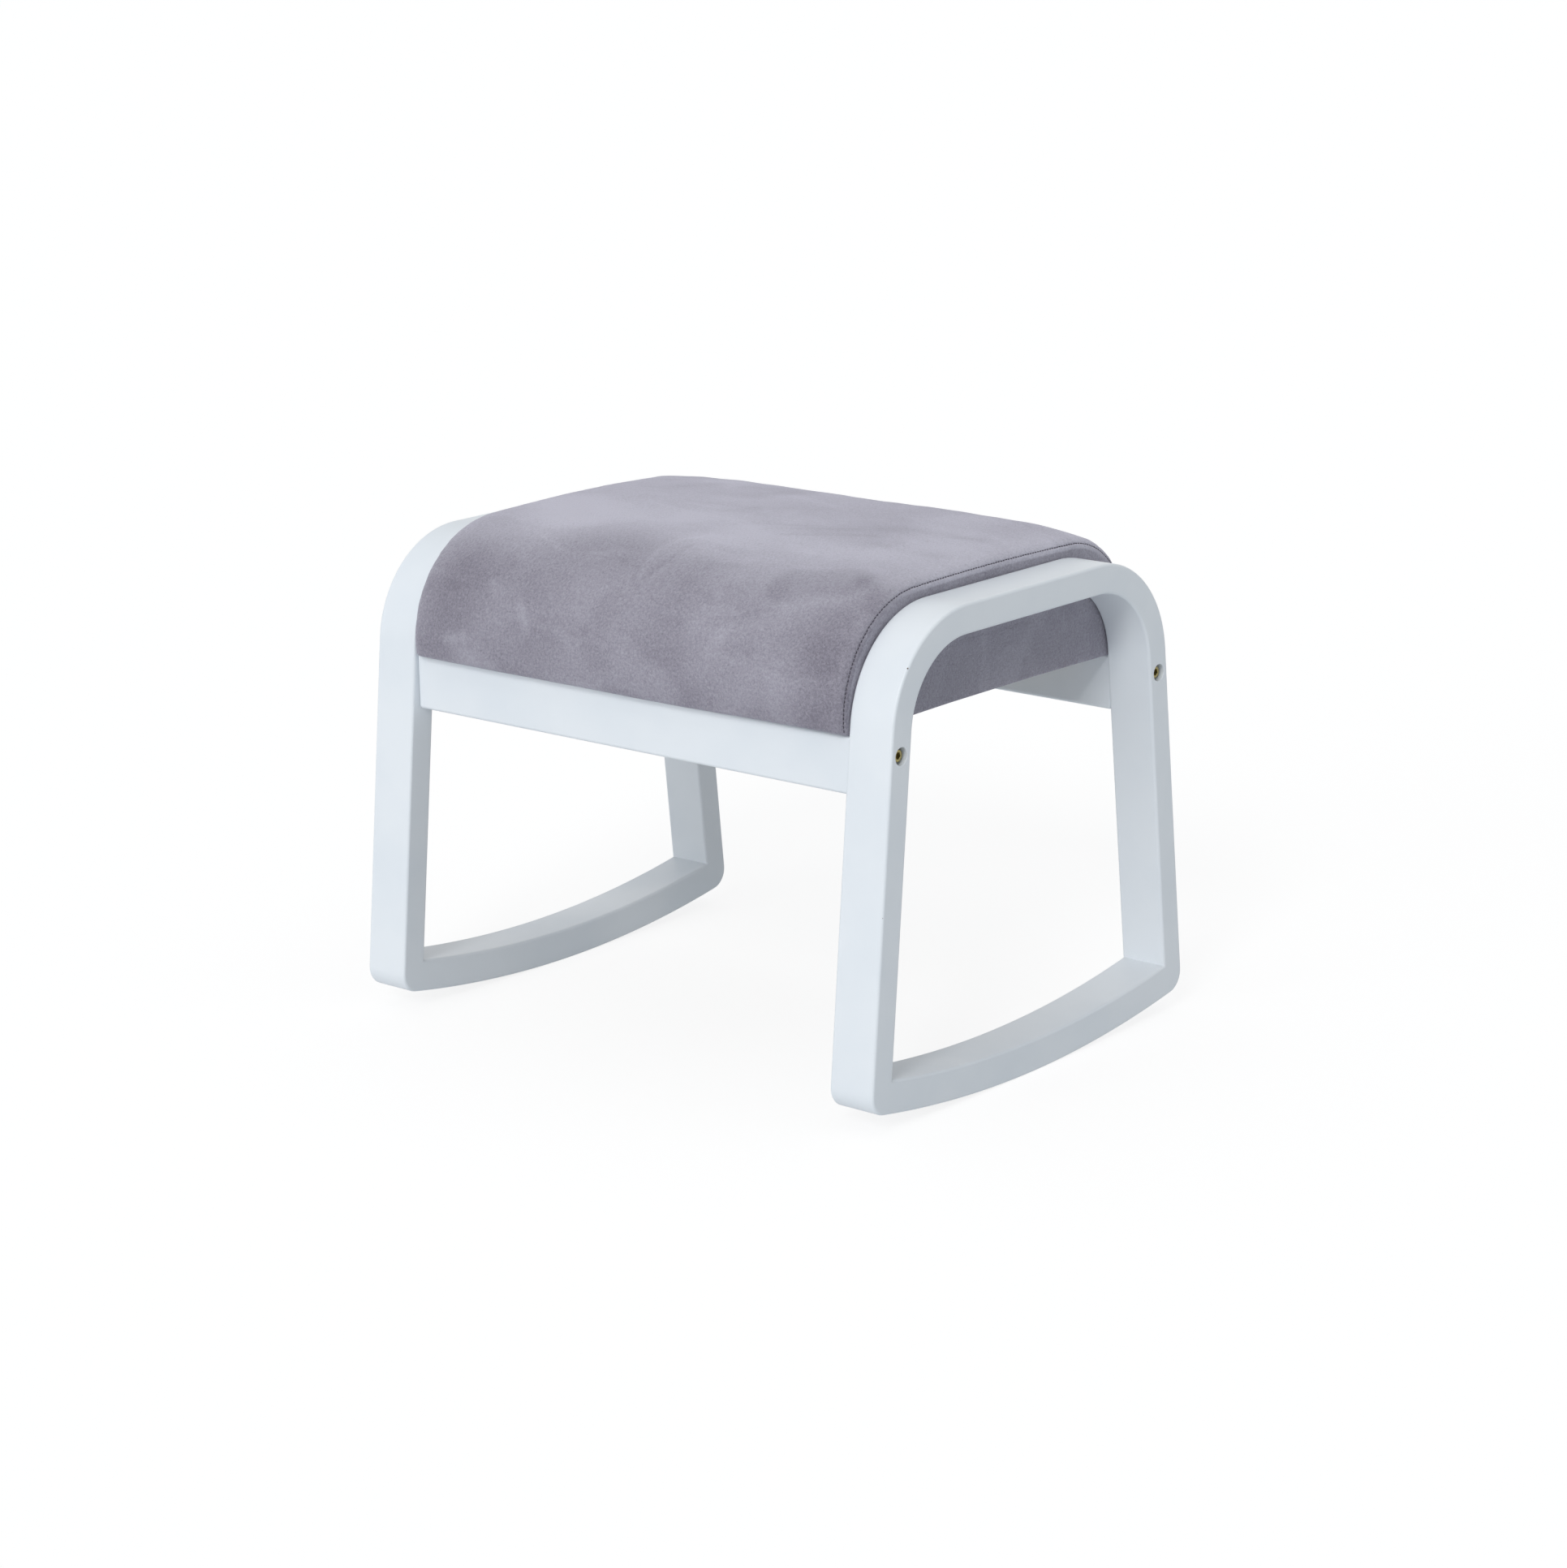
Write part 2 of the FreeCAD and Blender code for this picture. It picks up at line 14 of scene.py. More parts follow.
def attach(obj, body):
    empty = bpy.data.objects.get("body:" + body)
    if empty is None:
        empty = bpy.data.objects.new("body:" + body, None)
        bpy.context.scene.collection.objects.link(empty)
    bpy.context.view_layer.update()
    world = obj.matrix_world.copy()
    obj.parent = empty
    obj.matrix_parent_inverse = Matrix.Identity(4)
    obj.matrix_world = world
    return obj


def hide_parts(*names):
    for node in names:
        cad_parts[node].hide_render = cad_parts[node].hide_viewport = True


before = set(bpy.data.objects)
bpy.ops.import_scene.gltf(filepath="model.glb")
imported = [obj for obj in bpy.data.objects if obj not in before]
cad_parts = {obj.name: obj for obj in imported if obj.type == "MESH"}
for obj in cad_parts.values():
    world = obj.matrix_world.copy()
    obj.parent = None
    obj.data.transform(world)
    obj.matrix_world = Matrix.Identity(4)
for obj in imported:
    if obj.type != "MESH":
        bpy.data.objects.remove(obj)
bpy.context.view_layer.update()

# Rocking footstool in white satin lacquer with a mauve-grey microfibre pad.
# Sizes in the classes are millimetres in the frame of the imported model: X across the
# width, Y from front to rear, Z up from the floor. Meshes are in metres.

MM = 0.001
BODY = "root"
# Point layer of how light the pad's cloth is: its nap, with painted sheen and painted shade
LIGHTNESS_LAYER = "nap"
# How far a cutter reaches past the face that it cuts, in millimetres
CUT_PAST = 1.0
# Points of a mesh that are nearer than this are one, in metres
SAME_PLACE = 1e-7
# Smallest length that is divided by, in metres
TINY = 1e-9
# Smooth noise seldom passes 0.6 either way: this brings it to about 1
NOISE_GAIN = 1.6
LOG = logging.getLogger("footstool")


class Slot(Enum):
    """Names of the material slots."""

    LACQUER = "white_lacquer"
    BEECH = "beech_wood"
    PINE = "pine_wood"
    PLYWOOD = "birch_plywood"
    YELLOW_ZINC = "yellow_zinc"
    BRIGHT_ZINC = "bright_zinc"
    MICROFIBRE = "suede_microfibre"
    FOAM = "seat_foam"
    SPUNBOND = "spunbond_cloth"


class Side(Enum):
    """The two side frames, by the sign of their X."""

    RIGHT = 1
    LEFT = -1


class End(Enum):
    """The front and the rear of the stool, by the sign of their Y."""

    FRONT = -1
    REAR = 1


# Colour and nodes


def linear(hex_colour: str) -> tuple[float, float, float, float]:
    """Turn an sRGB hex colour into linear RGBA, by the numbers of the sRGB curve.

    Args:
        hex_colour: Colour as "#RRGGBB".

    Returns:
        Linear red, green and blue, and an alpha of 1.
    """
    channels = [int(hex_colour[i : i + 2], 16) / 255 for i in (1, 3, 5)]
    low = [c / 12.92 for c in channels]
    high = [((c + 0.055) / 1.055) ** 2.4 for c in channels]
    red, green, blue = (b if c > 0.04045 else a for c, a, b in zip(channels, low, high))
    return red, green, blue, 1.0


def feed(tree: bpy.types.NodeTree, node: bpy.types.Node, inputs: dict) -> None:
    """Set or link inputs of a node.

    Args:
        tree: Node tree that holds the node.
        node: The node.
        inputs: Input name or place, with a constant or the socket to link from.
    """
    for key, value in inputs.items():
        if isinstance(value, bpy.types.NodeSocket):
            tree.links.new(value, node.inputs[key])
        else:
            node.inputs[key].default_value = value


def add_node(
    tree: bpy.types.NodeTree, kind: str, inputs: dict | None = None, **settings: object
) -> bpy.types.Node:
    """Add one node with its settings, and set or link its inputs.

    Args:
        tree: Node tree that gets the node.
        kind: Blender's type name of the node.
        inputs: Input name or place, with a constant or the socket to link from.
        **settings: Attributes of the node itself.

    Returns:
        The new node.
    """
    node = tree.nodes.new(kind)
    for name, value in settings.items():
        setattr(node, name, value)
    feed(tree, node, inputs or {})
    return node


# Input and output places of the colour Mix node
MIX_FACTOR = 0
MIX_A = 6
MIX_B = 7
MIX_RESULT = 2

# Radians that the Wave texture runs through in a metre at scale 1
WAVE_RATE = 20


def per_metre(size_mm: float) -> float:
    """Scale of a noise or cell texture whose features have a real size."""
    return 1 / (size_mm * MM)


def empty_tree(owner: bpy.types.Material | bpy.types.World) -> bpy.types.NodeTree:
    """Switch on the nodes of a material or a world, and clear them.

    Args:
        owner: The material or world.

    Returns:
        Its empty node tree.
    """
    owner.use_nodes = True
    owner.node_tree.nodes.clear()
    return owner.node_tree


def new_material(
    name: str,
) -> tuple[bpy.types.Material, bpy.types.NodeTree, bpy.types.NodeSocket, bpy.types.Node]:
    """Start a material with a Principled shader on its output.

    Args:
        name: Name of the material.

    Returns:
        The material, its node tree, the place on the object and the Principled node.
    """
    material = bpy.data.materials.new(name)
    tree = empty_tree(material)
    place = add_node(tree, "ShaderNodeTexCoord").outputs["Object"]
    shader = add_node(tree, "ShaderNodeBsdfPrincipled")
    add_node(tree, "ShaderNodeOutputMaterial", {"Surface": shader.outputs["BSDF"]})
    return material, tree, place, shader


def seen_directly(tree: bpy.types.NodeTree) -> bpy.types.NodeSocket:
    """Tell the rays that show the background from those that only light the stool.

    Args:
        tree: Node tree of the world or floor.

    Returns:
        1 for rays of the camera, of gloss and through glass, and 0 for all others.
    """
    path = add_node(tree, "ShaderNodeLightPath")
    level = path.outputs["Is Camera Ray"]
    for name in ("Is Glossy Ray", "Is Transmission Ray"):
        inputs = {0: level, 1: path.outputs[name]}
        level = add_node(tree, "ShaderNodeMath", inputs, operation="MAXIMUM").outputs[0]
    return level


@dataclass(frozen=True)
class SatinLacquer:
    """White satin lacquer, sprayed over sanded beech and left half gloss.

    It gives the eye a cool white with soft, wide highlights, a faint unevenness from the
    spray gun, and here and there a speck where the lacquer has chipped off an edge.
    """

    name: str = "sprayed_white_satin_lacquer"
    colour: str = "#E3E8ED"
    thin_colour: str = "#DEE4EA"
    thin_range: tuple[float, float] = (0.42, 0.66)
    chip_colour: str = "#5E5046"
    ior: float = 1.5
    roughness: float = 0.38
    roughness_swing: tuple[float, float] = (-0.05, 0.07)
    coat_patch_mm: float = 90.0
    orange_peel_mm: float = 2.5
    peel_depth_mm: float = 0.04
    peel_strength: float = 0.12
    # X, Y, Z and radius of each chip, and how coarsely its rim is frayed
    chips_mm: tuple[tuple[float, float, float, float], ...] = (
        (269.6, -190.4, 173.0, 0.5),
        (269.6, -158.5, 358.7, 0.8),
    )
    chip_fray_mm: float = 10 / 9
    # The fray adds about half a radius to the distance from the chip's middle
    chip_rim: float = 1.5

    def build(self) -> bpy.types.Material:
        """Make the material.

        Returns:
            The material, with its nodes.
        """
        material, tree, place, shader = new_material(self.name)
        patch = add_node(
            tree,
            "ShaderNodeTexNoise",
            {"Vector": place, "Scale": per_metre(self.coat_patch_mm), "Detail": 3.0},
        ).outputs["Fac"]
        low, high = self.thin_range
        thin = add_node(
            tree, "ShaderNodeMapRange", {"Value": patch, "From Min": low, "From Max": high}
        ).outputs["Result"]
        tone = add_node(
            tree,
            "ShaderNodeMix",
            {MIX_FACTOR: thin, MIX_A: linear(self.colour), MIX_B: linear(self.thin_colour)},
            data_type="RGBA",
        ).outputs[MIX_RESULT]
        fray = add_node(
            tree, "ShaderNodeTexNoise", {"Vector": place, "Scale": per_metre(self.chip_fray_mm)}
        ).outputs["Fac"]
        for x, y, z, radius_mm in self.chips_mm:
            radius = radius_mm * MM
            away = add_node(
                tree,
                "ShaderNodeVectorMath",
                {0: place, 1: Vector((x, y, z)) * MM},
                operation="DISTANCE",
            ).outputs["Value"]
            frayed = add_node(
                tree, "ShaderNodeMath", {0: fray, 1: radius, 2: away}, operation="MULTIPLY_ADD"
            ).outputs["Value"]
            inside = add_node(
                tree,
                "ShaderNodeMath",
                {0: frayed, 1: radius * self.chip_rim},
                operation="LESS_THAN",
            ).outputs["Value"]
            tone = add_node(
                tree,
                "ShaderNodeMix",
                {MIX_FACTOR: inside, MIX_A: tone, MIX_B: linear(self.chip_colour)},
                data_type="RGBA",
            ).outputs[MIX_RESULT]
        smooth, rough = (self.roughness + swing for swing in self.roughness_swing)
        gloss = add_node(
            tree, "ShaderNodeMapRange", {"Value": patch, "To Min": smooth, "To Max": rough}
        ).outputs["Result"]
        peel = add_node(
            tree,
            "ShaderNodeTexNoise",
            {"Vector": place, "Scale": per_metre(self.orange_peel_mm), "Detail": 2.0},
        ).outputs["Fac"]
        relief = add_node(
            tree,
            "ShaderNodeBump",
            {
                "Height": peel,
                "Strength": self.peel_strength,
                "Distance": self.peel_depth_mm * MM,
            },
        ).outputs["Normal"]
        surface = {"Base Color": tone, "Roughness": gloss, "IOR": self.ior, "Normal": relief}
        feed(tree, shader, surface)
        return material


@dataclass(frozen=True)
class SuedeMicrofibre:
    """Polyester microfibre with a sueded face, knitted and brushed.

    It gives the eye a dry mauve grey that turns lighter along the nap and at a glancing
    angle, with darker and lighter smears where hands have brushed it, and a fine mottle.
    The lightness that it reads from the pad also carries painted light: a painted sheen on
    the top, and painted shade on the front, rear, shoulders, side panels and underside.
    """

    name: str = "brushed_suede_microfibre"
    against_nap_and_shade: str = "#77737F"
    along_nap_and_sheen: str = "#C6C4D0"
    nap_range: tuple[float, float] = (0.13, 0.93)
    sheen_colour: str = "#D9D6E4"
    ior: float = 1.45
    roughness: float = 0.92
    sheen: float = 0.55
    sheen_roughness: float = 0.45
    stroke_stretch: tuple[float, float, float] = (0.6, 1.3, 1.0)
    smear_mm: float = 48.0
    swath_mm: float = 60.0
    swath_edge: tuple[float, float] = (0.5, 0.56)
    # Fibres of 0.02 mm and tufts under 0.5 mm are too fine to show in the render, so the
    # mottle and the fibres are drawn as coarse, and as deep, as they need to show
    mottle_mm: float = 2.1
    fibre_mm: float = 1.0
    relief_mm: float = 0.45
    mottle_relief: float = 1.6
    smear_share: float = 0.18
    swath_share: float = 0.06
    mottle_share: float = 0.44
    fibre_share: float = 0.42

    def build(self) -> bpy.types.Material:
        """Make the material.

        Returns:
            The material, with its nodes.
        """
        material, tree, place, shader = new_material(self.name)
        strokes = add_node(
            tree, "ShaderNodeMapping", {"Vector": place, "Scale": self.stroke_stretch}
        ).outputs[0]
        smear, swath, mottle, fibre = (
            add_node(
                tree,
                "ShaderNodeTexNoise",
                {"Vector": vector, "Scale": per_metre(size), **more},
            ).outputs["Fac"]
            for vector, size, more in (
                (strokes, self.smear_mm, {"Detail": 4.0, "Roughness": 0.55, "Distortion": 1.1}),
                (strokes, self.swath_mm, {"Detail": 3.0, "Distortion": 0.6}),
                (place, self.mottle_mm, {"Detail": 2.0}),
                (place, self.fibre_mm, {"Detail": 2.0}),
            )
        )
        low, high = self.swath_edge
        edged = add_node(
            tree, "ShaderNodeMapRange", {"Value": swath, "From Min": low, "From Max": high}
        ).outputs["Result"]
        # How light the cloth is at each point of the pad: its nap, with painted sheen on the
        # top and painted shade on its sides and underside
        level = add_node(tree, "ShaderNodeAttribute", attribute_name=LIGHTNESS_LAYER).outputs["Fac"]
        for layer, share in (
            (smear, self.smear_share),
            (edged, self.swath_share),
            (mottle, self.mottle_share),
            (fibre, self.fibre_share),
        ):
            level = add_node(
                tree, "ShaderNodeMath", {0: layer, 1: share, 2: level}, operation="MULTIPLY_ADD"
            ).outputs["Value"]
        low, high = self.nap_range
        lightness_share = add_node(
            tree, "ShaderNodeMapRange", {"Value": level, "From Min": low, "From Max": high}
        ).outputs["Result"]
        tone = add_node(
            tree,
            "ShaderNodeMix",
            {MIX_FACTOR: lightness_share, MIX_A: linear(self.against_nap_and_shade), MIX_B: linear(self.along_nap_and_sheen)},
            data_type="RGBA",
        ).outputs[MIX_RESULT]
        height = add_node(
            tree,
            "ShaderNodeMath",
            {0: mottle, 1: self.mottle_relief, 2: fibre},
            operation="MULTIPLY_ADD",
        ).outputs["Value"]
        relief = add_node(
            tree,
            "ShaderNodeBump",
            {"Height": height, "Strength": 1.0, "Distance": self.relief_mm * MM},
        ).outputs["Normal"]
        surface = {
            "Base Color": tone,
            "IOR": self.ior,
            "Roughness": self.roughness,
            "Sheen Weight": self.sheen,
            "Sheen Roughness": self.sheen_roughness,
            "Sheen Tint": linear(self.sheen_colour),
            "Normal": relief,
        }
        feed(tree, shader, surface)
        return material


@dataclass(frozen=True)
class SpunThread:
    """Twisted polyester sewing thread, dyed darker than the cover.

    It gives the eye a thin dark dashed line with a slight twist along each stitch.
    """

    name: str = "twisted_polyester_thread"
    colour: str = "#2F2B35"
    light_colour: str = "#4B4653"
    roughness: float = 0.7
    # The real twist of about 1 mm is too fine to show, so it is drawn longer
    twist_mm: float = 3.14

    def build(self) -> bpy.types.Material:
        """Make the material.

        Returns:
            The material, with its nodes.
        """
        material, tree, place, shader = new_material(self.name)
        scale = 2 * math.pi / WAVE_RATE * per_metre(self.twist_mm)
        twist = add_node(
            tree,
            "ShaderNodeTexWave",
            {"Vector": place, "Scale": scale, "Distortion": 2.0},
            bands_direction="DIAGONAL",
        ).outputs["Fac"]
        tone = add_node(
            tree,
            "ShaderNodeMix",
            {MIX_FACTOR: twist, MIX_A: linear(self.colour), MIX_B: linear(self.light_colour)},
            data_type="RGBA",
        ).outputs[MIX_RESULT]
        feed(tree, shader, {"Base Color": tone, "Roughness": self.roughness})
        return material


@dataclass(frozen=True)
class PlatedSteel:
    """Zinc-plated steel, dull from the bath.

    It gives the eye a greyish or yellowish metal with cloudy tone and soft reflections.
    """

    name: str
    colour: str
    cloud_colour: str
    roughness: float = 0.38
    roughness_swing: tuple[float, float] = (-0.1, 0.12)
    cloud_mm: float = 3.0

    def build(self) -> bpy.types.Material:
        """Make the material.

        Returns:
            The material, with its nodes.
        """
        material, tree, place, shader = new_material(self.name)
        cloud = add_node(
            tree,
            "ShaderNodeTexNoise",
            {"Vector": place, "Scale": per_metre(self.cloud_mm), "Detail": 3.0},
        ).outputs["Fac"]
        tone = add_node(
            tree,
            "ShaderNodeMix",
            {MIX_FACTOR: cloud, MIX_A: linear(self.colour), MIX_B: linear(self.cloud_colour)},
            data_type="RGBA",
        ).outputs[MIX_RESULT]
        smooth, rough = (self.roughness + swing for swing in self.roughness_swing)
        gloss = add_node(
            tree, "ShaderNodeMapRange", {"Value": cloud, "To Min": smooth, "To Max": rough}
        ).outputs["Result"]
        feed(tree, shader, {"Base Color": tone, "Roughness": gloss, "Metallic": 1.0})
        return material


@dataclass(frozen=True)
class PlanedWood:
    """Bare planed wood.

    It gives the eye long streaks of early and late wood along its length, with fine pores.
    """

    name: str
    colour: str
    grain_colour: str
    ring_mm: float = 4.0
    # Real pores of 0.1 mm are too fine to show, so they are drawn coarser and deeper
    pore_mm: float = 0.5
    pore_depth_mm: float = 0.1
    pore_strength: float = 0.2
    pore_share: float = 0.5
    streak_range: tuple[float, float] = (0.55, 0.95)
    stretch: tuple[float, float, float] = (0.06, 1.0, 1.0)
    roughness: float = 0.6

    def build(self) -> bpy.types.Material:
        """Make the material.

        Returns:
            The material, with its nodes.
        """
        material, tree, place, shader = new_material(self.name)
        along = add_node(tree, "ShaderNodeMapping", {"Vector": place, "Scale": self.stretch})
        ring, pore = (
            add_node(
                tree,
                "ShaderNodeTexNoise",
                {"Vector": along.outputs[0], "Scale": per_metre(size), "Detail": 2.0},
            ).outputs["Fac"]
            for size in (self.ring_mm, self.pore_mm)
        )
        level = add_node(
            tree,
            "ShaderNodeMath",
            {0: pore, 1: self.pore_share, 2: ring},
            operation="MULTIPLY_ADD",
        ).outputs["Value"]
        low, high = self.streak_range
        streak = add_node(
            tree, "ShaderNodeMapRange", {"Value": level, "From Min": low, "From Max": high}
        ).outputs["Result"]
        tone = add_node(
            tree,
            "ShaderNodeMix",
            {MIX_FACTOR: streak, MIX_A: linear(self.colour), MIX_B: linear(self.grain_colour)},
            data_type="RGBA",
        ).outputs[MIX_RESULT]
        relief = add_node(
            tree,
            "ShaderNodeBump",
            {
                "Height": pore,
                "Strength": self.pore_strength,
                "Distance": self.pore_depth_mm * MM,
            },
        ).outputs["Normal"]
        feed(tree, shader, {"Base Color": tone, "Roughness": self.roughness, "Normal": relief})
        return material


@dataclass(frozen=True)
class BirchPlywood:
    """Birch plywood, sawn, with its edges bare.

    It gives the eye pale faces and thin dark glue lines between the plies at the edge.
    """

    name: str = "sawn_birch_plywood"
    colour: str = "#D9BE94"
    cross_ply: str = "#B8946A"
    ply_mm: float = 1.5
    roughness: float = 0.65

    def build(self) -> bpy.types.Material:
        """Make the material.

        Returns:
            The material, with its nodes.
        """
        material, tree, place, shader = new_material(self.name)
        scale = math.pi / WAVE_RATE * per_metre(self.ply_mm)
        ply = add_node(
            tree,
            "ShaderNodeTexWave",
            {"Vector": place, "Scale": scale, "Distortion": 0.4},
            bands_direction="Z",
        ).outputs["Fac"]
        tone = add_node(
            tree,
            "ShaderNodeMix",
            {MIX_FACTOR: ply, MIX_A: linear(self.colour), MIX_B: linear(self.cross_ply)},
            data_type="RGBA",
        ).outputs[MIX_RESULT]
        feed(tree, shader, {"Base Color": tone, "Roughness": self.roughness})
        return material


@dataclass(frozen=True)
class SpunbondCloth:
    """Black spunbond polypropylene, hot-pressed in a field of small diamonds.

    It gives the eye a thin, slightly shiny black cloth with a regular dimple.
    """

    name: str = "pressed_spunbond_cloth"
    colour: str = "#17171A"
    raised_colour: str = "#2A2A2E"
    # The real dimples of about 1 mm are too fine to show, so they are drawn coarser
    dimple_mm: float = 2.0
    dimple_depth_mm: float = 0.2
    dimple_strength: float = 0.5
    roughness: float = 0.6

    def build(self) -> bpy.types.Material:
        """Make the material.

        Returns:
            The material, with its nodes.
        """
        material, tree, place, shader = new_material(self.name)
        dimple = add_node(
            tree,
            "ShaderNodeTexVoronoi",
            {"Vector": place, "Scale": per_metre(self.dimple_mm), "Randomness": 0.1},
        ).outputs["Distance"]
        tone = add_node(
            tree,
            "ShaderNodeMix",
            {MIX_FACTOR: dimple, MIX_A: linear(self.colour), MIX_B: linear(self.raised_colour)},
            data_type="RGBA",
        ).outputs[MIX_RESULT]
        relief = add_node(
            tree,
            "ShaderNodeBump",
            {
                "Height": dimple,
                "Strength": self.dimple_strength,
                "Distance": self.dimple_depth_mm * MM,
            },
        ).outputs["Normal"]
        feed(tree, shader, {"Base Color": tone, "Roughness": self.roughness, "Normal": relief})
        return material


@dataclass(frozen=True)
class BackdropPaper:
    """Seamless white background paper, matt coated.

    It gives the eye an even, bright white ground that keeps a faint shadow under the stool.
    """

    name: str = "matt_coated_backdrop_paper"
    # The first lights the stool from below, the second keeps the shadow that is seen
    colour: str = "#E7EAED"
    shadow_colour: str = "#7C7C7C"
    glow_colour: str = "#FFFFFF"
    glow: float = 0.84

    def build(self) -> bpy.types.Material:
        """Make the material.

        Returns:
            The material, with its nodes.
        """
        material = bpy.data.materials.new(self.name)
        tree = empty_tree(material)
        plain, faint = (
            add_node(tree, "ShaderNodeBsdfDiffuse", {"Color": linear(colour)}).outputs[0]
            for colour in (self.colour, self.shadow_colour)
        )
        glow = add_node(
            tree,
            "ShaderNodeEmission",
            {"Color": linear(self.glow_colour), "Strength": self.glow},
        ).outputs[0]
        shown = add_node(tree, "ShaderNodeAddShader", {0: faint, 1: glow}).outputs[0]
        inputs = {0: seen_directly(tree), 1: plain, 2: shown}
        mix = add_node(tree, "ShaderNodeMixShader", inputs)
        add_node(tree, "ShaderNodeOutputMaterial", {"Surface": mix.outputs[0]})
        return material


# Meshes


def new_piece(
    name: str, points: np.ndarray, faces: list[tuple[int, ...]], merge: bool = True
) -> bpy.types.Object:
    """Make a mesh object from points in millimetres.

    Args:
        name: Name of the piece.
        points: One row of X, Y and Z for each point.
        faces: Point numbers of each face.
        merge: Whether points in one place become one.

    Returns:
        The object, linked to the scene, with smooth faces that point outwards.
    """
    mesh = bpy.data.meshes.new(name)
    mesh.from_pydata([tuple(point) for point in np.asarray(points) * MM], [], faces)
    sheet = bmesh.new()
    sheet.from_mesh(mesh)
    if merge:
        bmesh.ops.remove_doubles(sheet, verts=sheet.verts, dist=SAME_PLACE)
    bmesh.ops.recalc_face_normals(sheet, faces=sheet.faces)
    sheet.to_mesh(mesh)
    sheet.free()
    mesh.shade_smooth()
    piece = bpy.data.objects.new(name, mesh)
    bpy.context.scene.collection.objects.link(piece)
    return piece


def mesh_points(mesh: bpy.types.Mesh) -> np.ndarray:
    """Read the points of a mesh.

    Args:
        mesh: The mesh.

    Returns:
        A row of X, Y and Z for each point, in metres.
    """
    points = np.empty(len(mesh.vertices) * 3, np.float64)
    mesh.vertices.foreach_get("co", points)
    return points.reshape(-1, 3)


def set_mesh_points(mesh: bpy.types.Mesh, points: np.ndarray) -> None:
    """Move the points of a mesh to new places, in metres."""
    mesh.vertices.foreach_set("co", points.ravel())
    mesh.update()


def strip_faces(low: int, high: int, count: int, closed: bool = True) -> list[tuple]:
    """Faces between two rows of points.

    Args:
        low: Number of the first point of one row.
        high: Number of the first point of the other row.
        count: Points in each row.
        closed: Whether the rows close on themselves.

    Returns:
        Four-cornered faces.
    """
    faces = []
    for column in range(count if closed else count - 1):
        beside = (column + 1) % count
        faces.append((low + column, low + beside, high + beside, high + column))
    return faces


def grid_faces(rows: int, columns: int, start: int = 0, closed: bool = True) -> list[tuple]:
    """Faces of a grid of points that are numbered row by row.

    Args:
        rows: Number of rows.
        columns: Points in each row.
        start: Number of the first point.
        closed: Whether each row closes on itself.

    Returns:
        Four-cornered faces.
    """
    faces = []
    for row in range(rows - 1):
        low = start + row * columns
        faces += strip_faces(low, low + columns, columns, closed)
    return faces


def tube_faces(rows: int, columns: int, start: int = 0) -> list[tuple]:
    """Faces of a closed tube, with a flat cap at each end.

    Args:
        rows: Number of rings.
        columns: Points in each ring.
        start: Number of the first point.

    Returns:
        The faces, with the two caps last.
    """
    faces = grid_faces(rows, columns, start)
    for base in (start, start + (rows - 1) * columns):
        faces.append(tuple(range(base, base + columns)))
    return faces


def lathe(
    name: str, profile: Iterable[tuple[float, float]], start: Vector, axis: Vector, steps: int
) -> bpy.types.Object:
    """Turn a profile round an axis into a closed piece.

    Args:
        name: Name of the piece.
        profile: Distance along the axis and radius, from one end to the other.
        start: Point on the axis at distance 0, in millimetres.
        axis: Direction of the axis.
        steps: Number of points round the axis.

    Returns:
        The turned piece.
    """
    side = axis.orthogonal().normalized()
    other = axis.cross(side)
    points = []
    for along, radius in profile:
        for step in range(steps):
            turn = 2 * math.pi * step / steps
            offset = side * math.cos(turn) + other * math.sin(turn)
            points.append(start + axis * along + offset * radius)
    return new_piece(name, np.array(points), tube_faces(len(points) // steps, steps))


def bake_modifiers(piece: bpy.types.Object) -> None:
    """Put what the modifiers of a piece make into its mesh, and take them off.

    Args:
        piece: The piece.
    """
    graph = bpy.context.evaluated_depsgraph_get()
    mesh = bpy.data.meshes.new_from_object(piece.evaluated_get(graph))
    old = piece.data
    piece.modifiers.clear()
    piece.data = mesh
    bpy.data.meshes.remove(old)


def carve(piece: bpy.types.Object, cutters: list[bpy.types.Object]) -> None:
    """Cut pieces out of a piece, and remove the cutters.

    Args:
        piece: The piece that is cut.
        cutters: Closed pieces.
    """
    for cutter in cutters:
        cut = piece.modifiers.new("cut", "BOOLEAN")
        cut.object = cutter
        cut.operation = "DIFFERENCE"
        cut.solver = "EXACT"
    bpy.context.view_layer.update()
    bake_modifiers(piece)
    for cutter in cutters:
        bpy.data.objects.remove(cutter)


def crisp(piece: bpy.types.Object, degrees: float = 32.0) -> None:
    """Keep flat faces flat and rounded edges smooth.

    Args:
        piece: The piece.
        degrees: Edges that turn by more than this stay sharp.
    """
    piece.data.shade_smooth()
    piece.data.set_sharp_from_angle(angle=math.radians(degrees))
    piece.modifiers.new("flat_faces", "WEIGHTED_NORMAL").keep_sharp = True


def settle(
    piece: bpy.types.Object, material: bpy.types.Material, slot: Slot, *nodes: str
) -> bpy.types.Object:
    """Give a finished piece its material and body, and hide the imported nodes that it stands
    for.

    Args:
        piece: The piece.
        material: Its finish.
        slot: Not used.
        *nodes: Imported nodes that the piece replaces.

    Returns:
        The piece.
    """
    piece.data.materials.clear()
    piece.data.materials.append(material)
    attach(piece, BODY)
    if nodes:
        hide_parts(*nodes)
    LOG.info("%s: %d faces", piece.name, len(piece.data.polygons))
    return piece


def quarter_steps(radius: float, strips: int) -> list[tuple[float, float]]:
    """A quarter round as pairs of how far along and how far drawn in, from its start.

    Args:
        radius: Radius of the rounding.
        strips: Number of strips.

    Returns:
        Pairs that begin at (0, 0) and end at (radius, radius).
    """
    turns = [math.pi / 2 * step / strips for step in range(strips + 1)]
    return [(radius * math.sin(turn), radius * (1 - math.cos(turn))) for turn in turns]


# Bent wood frame


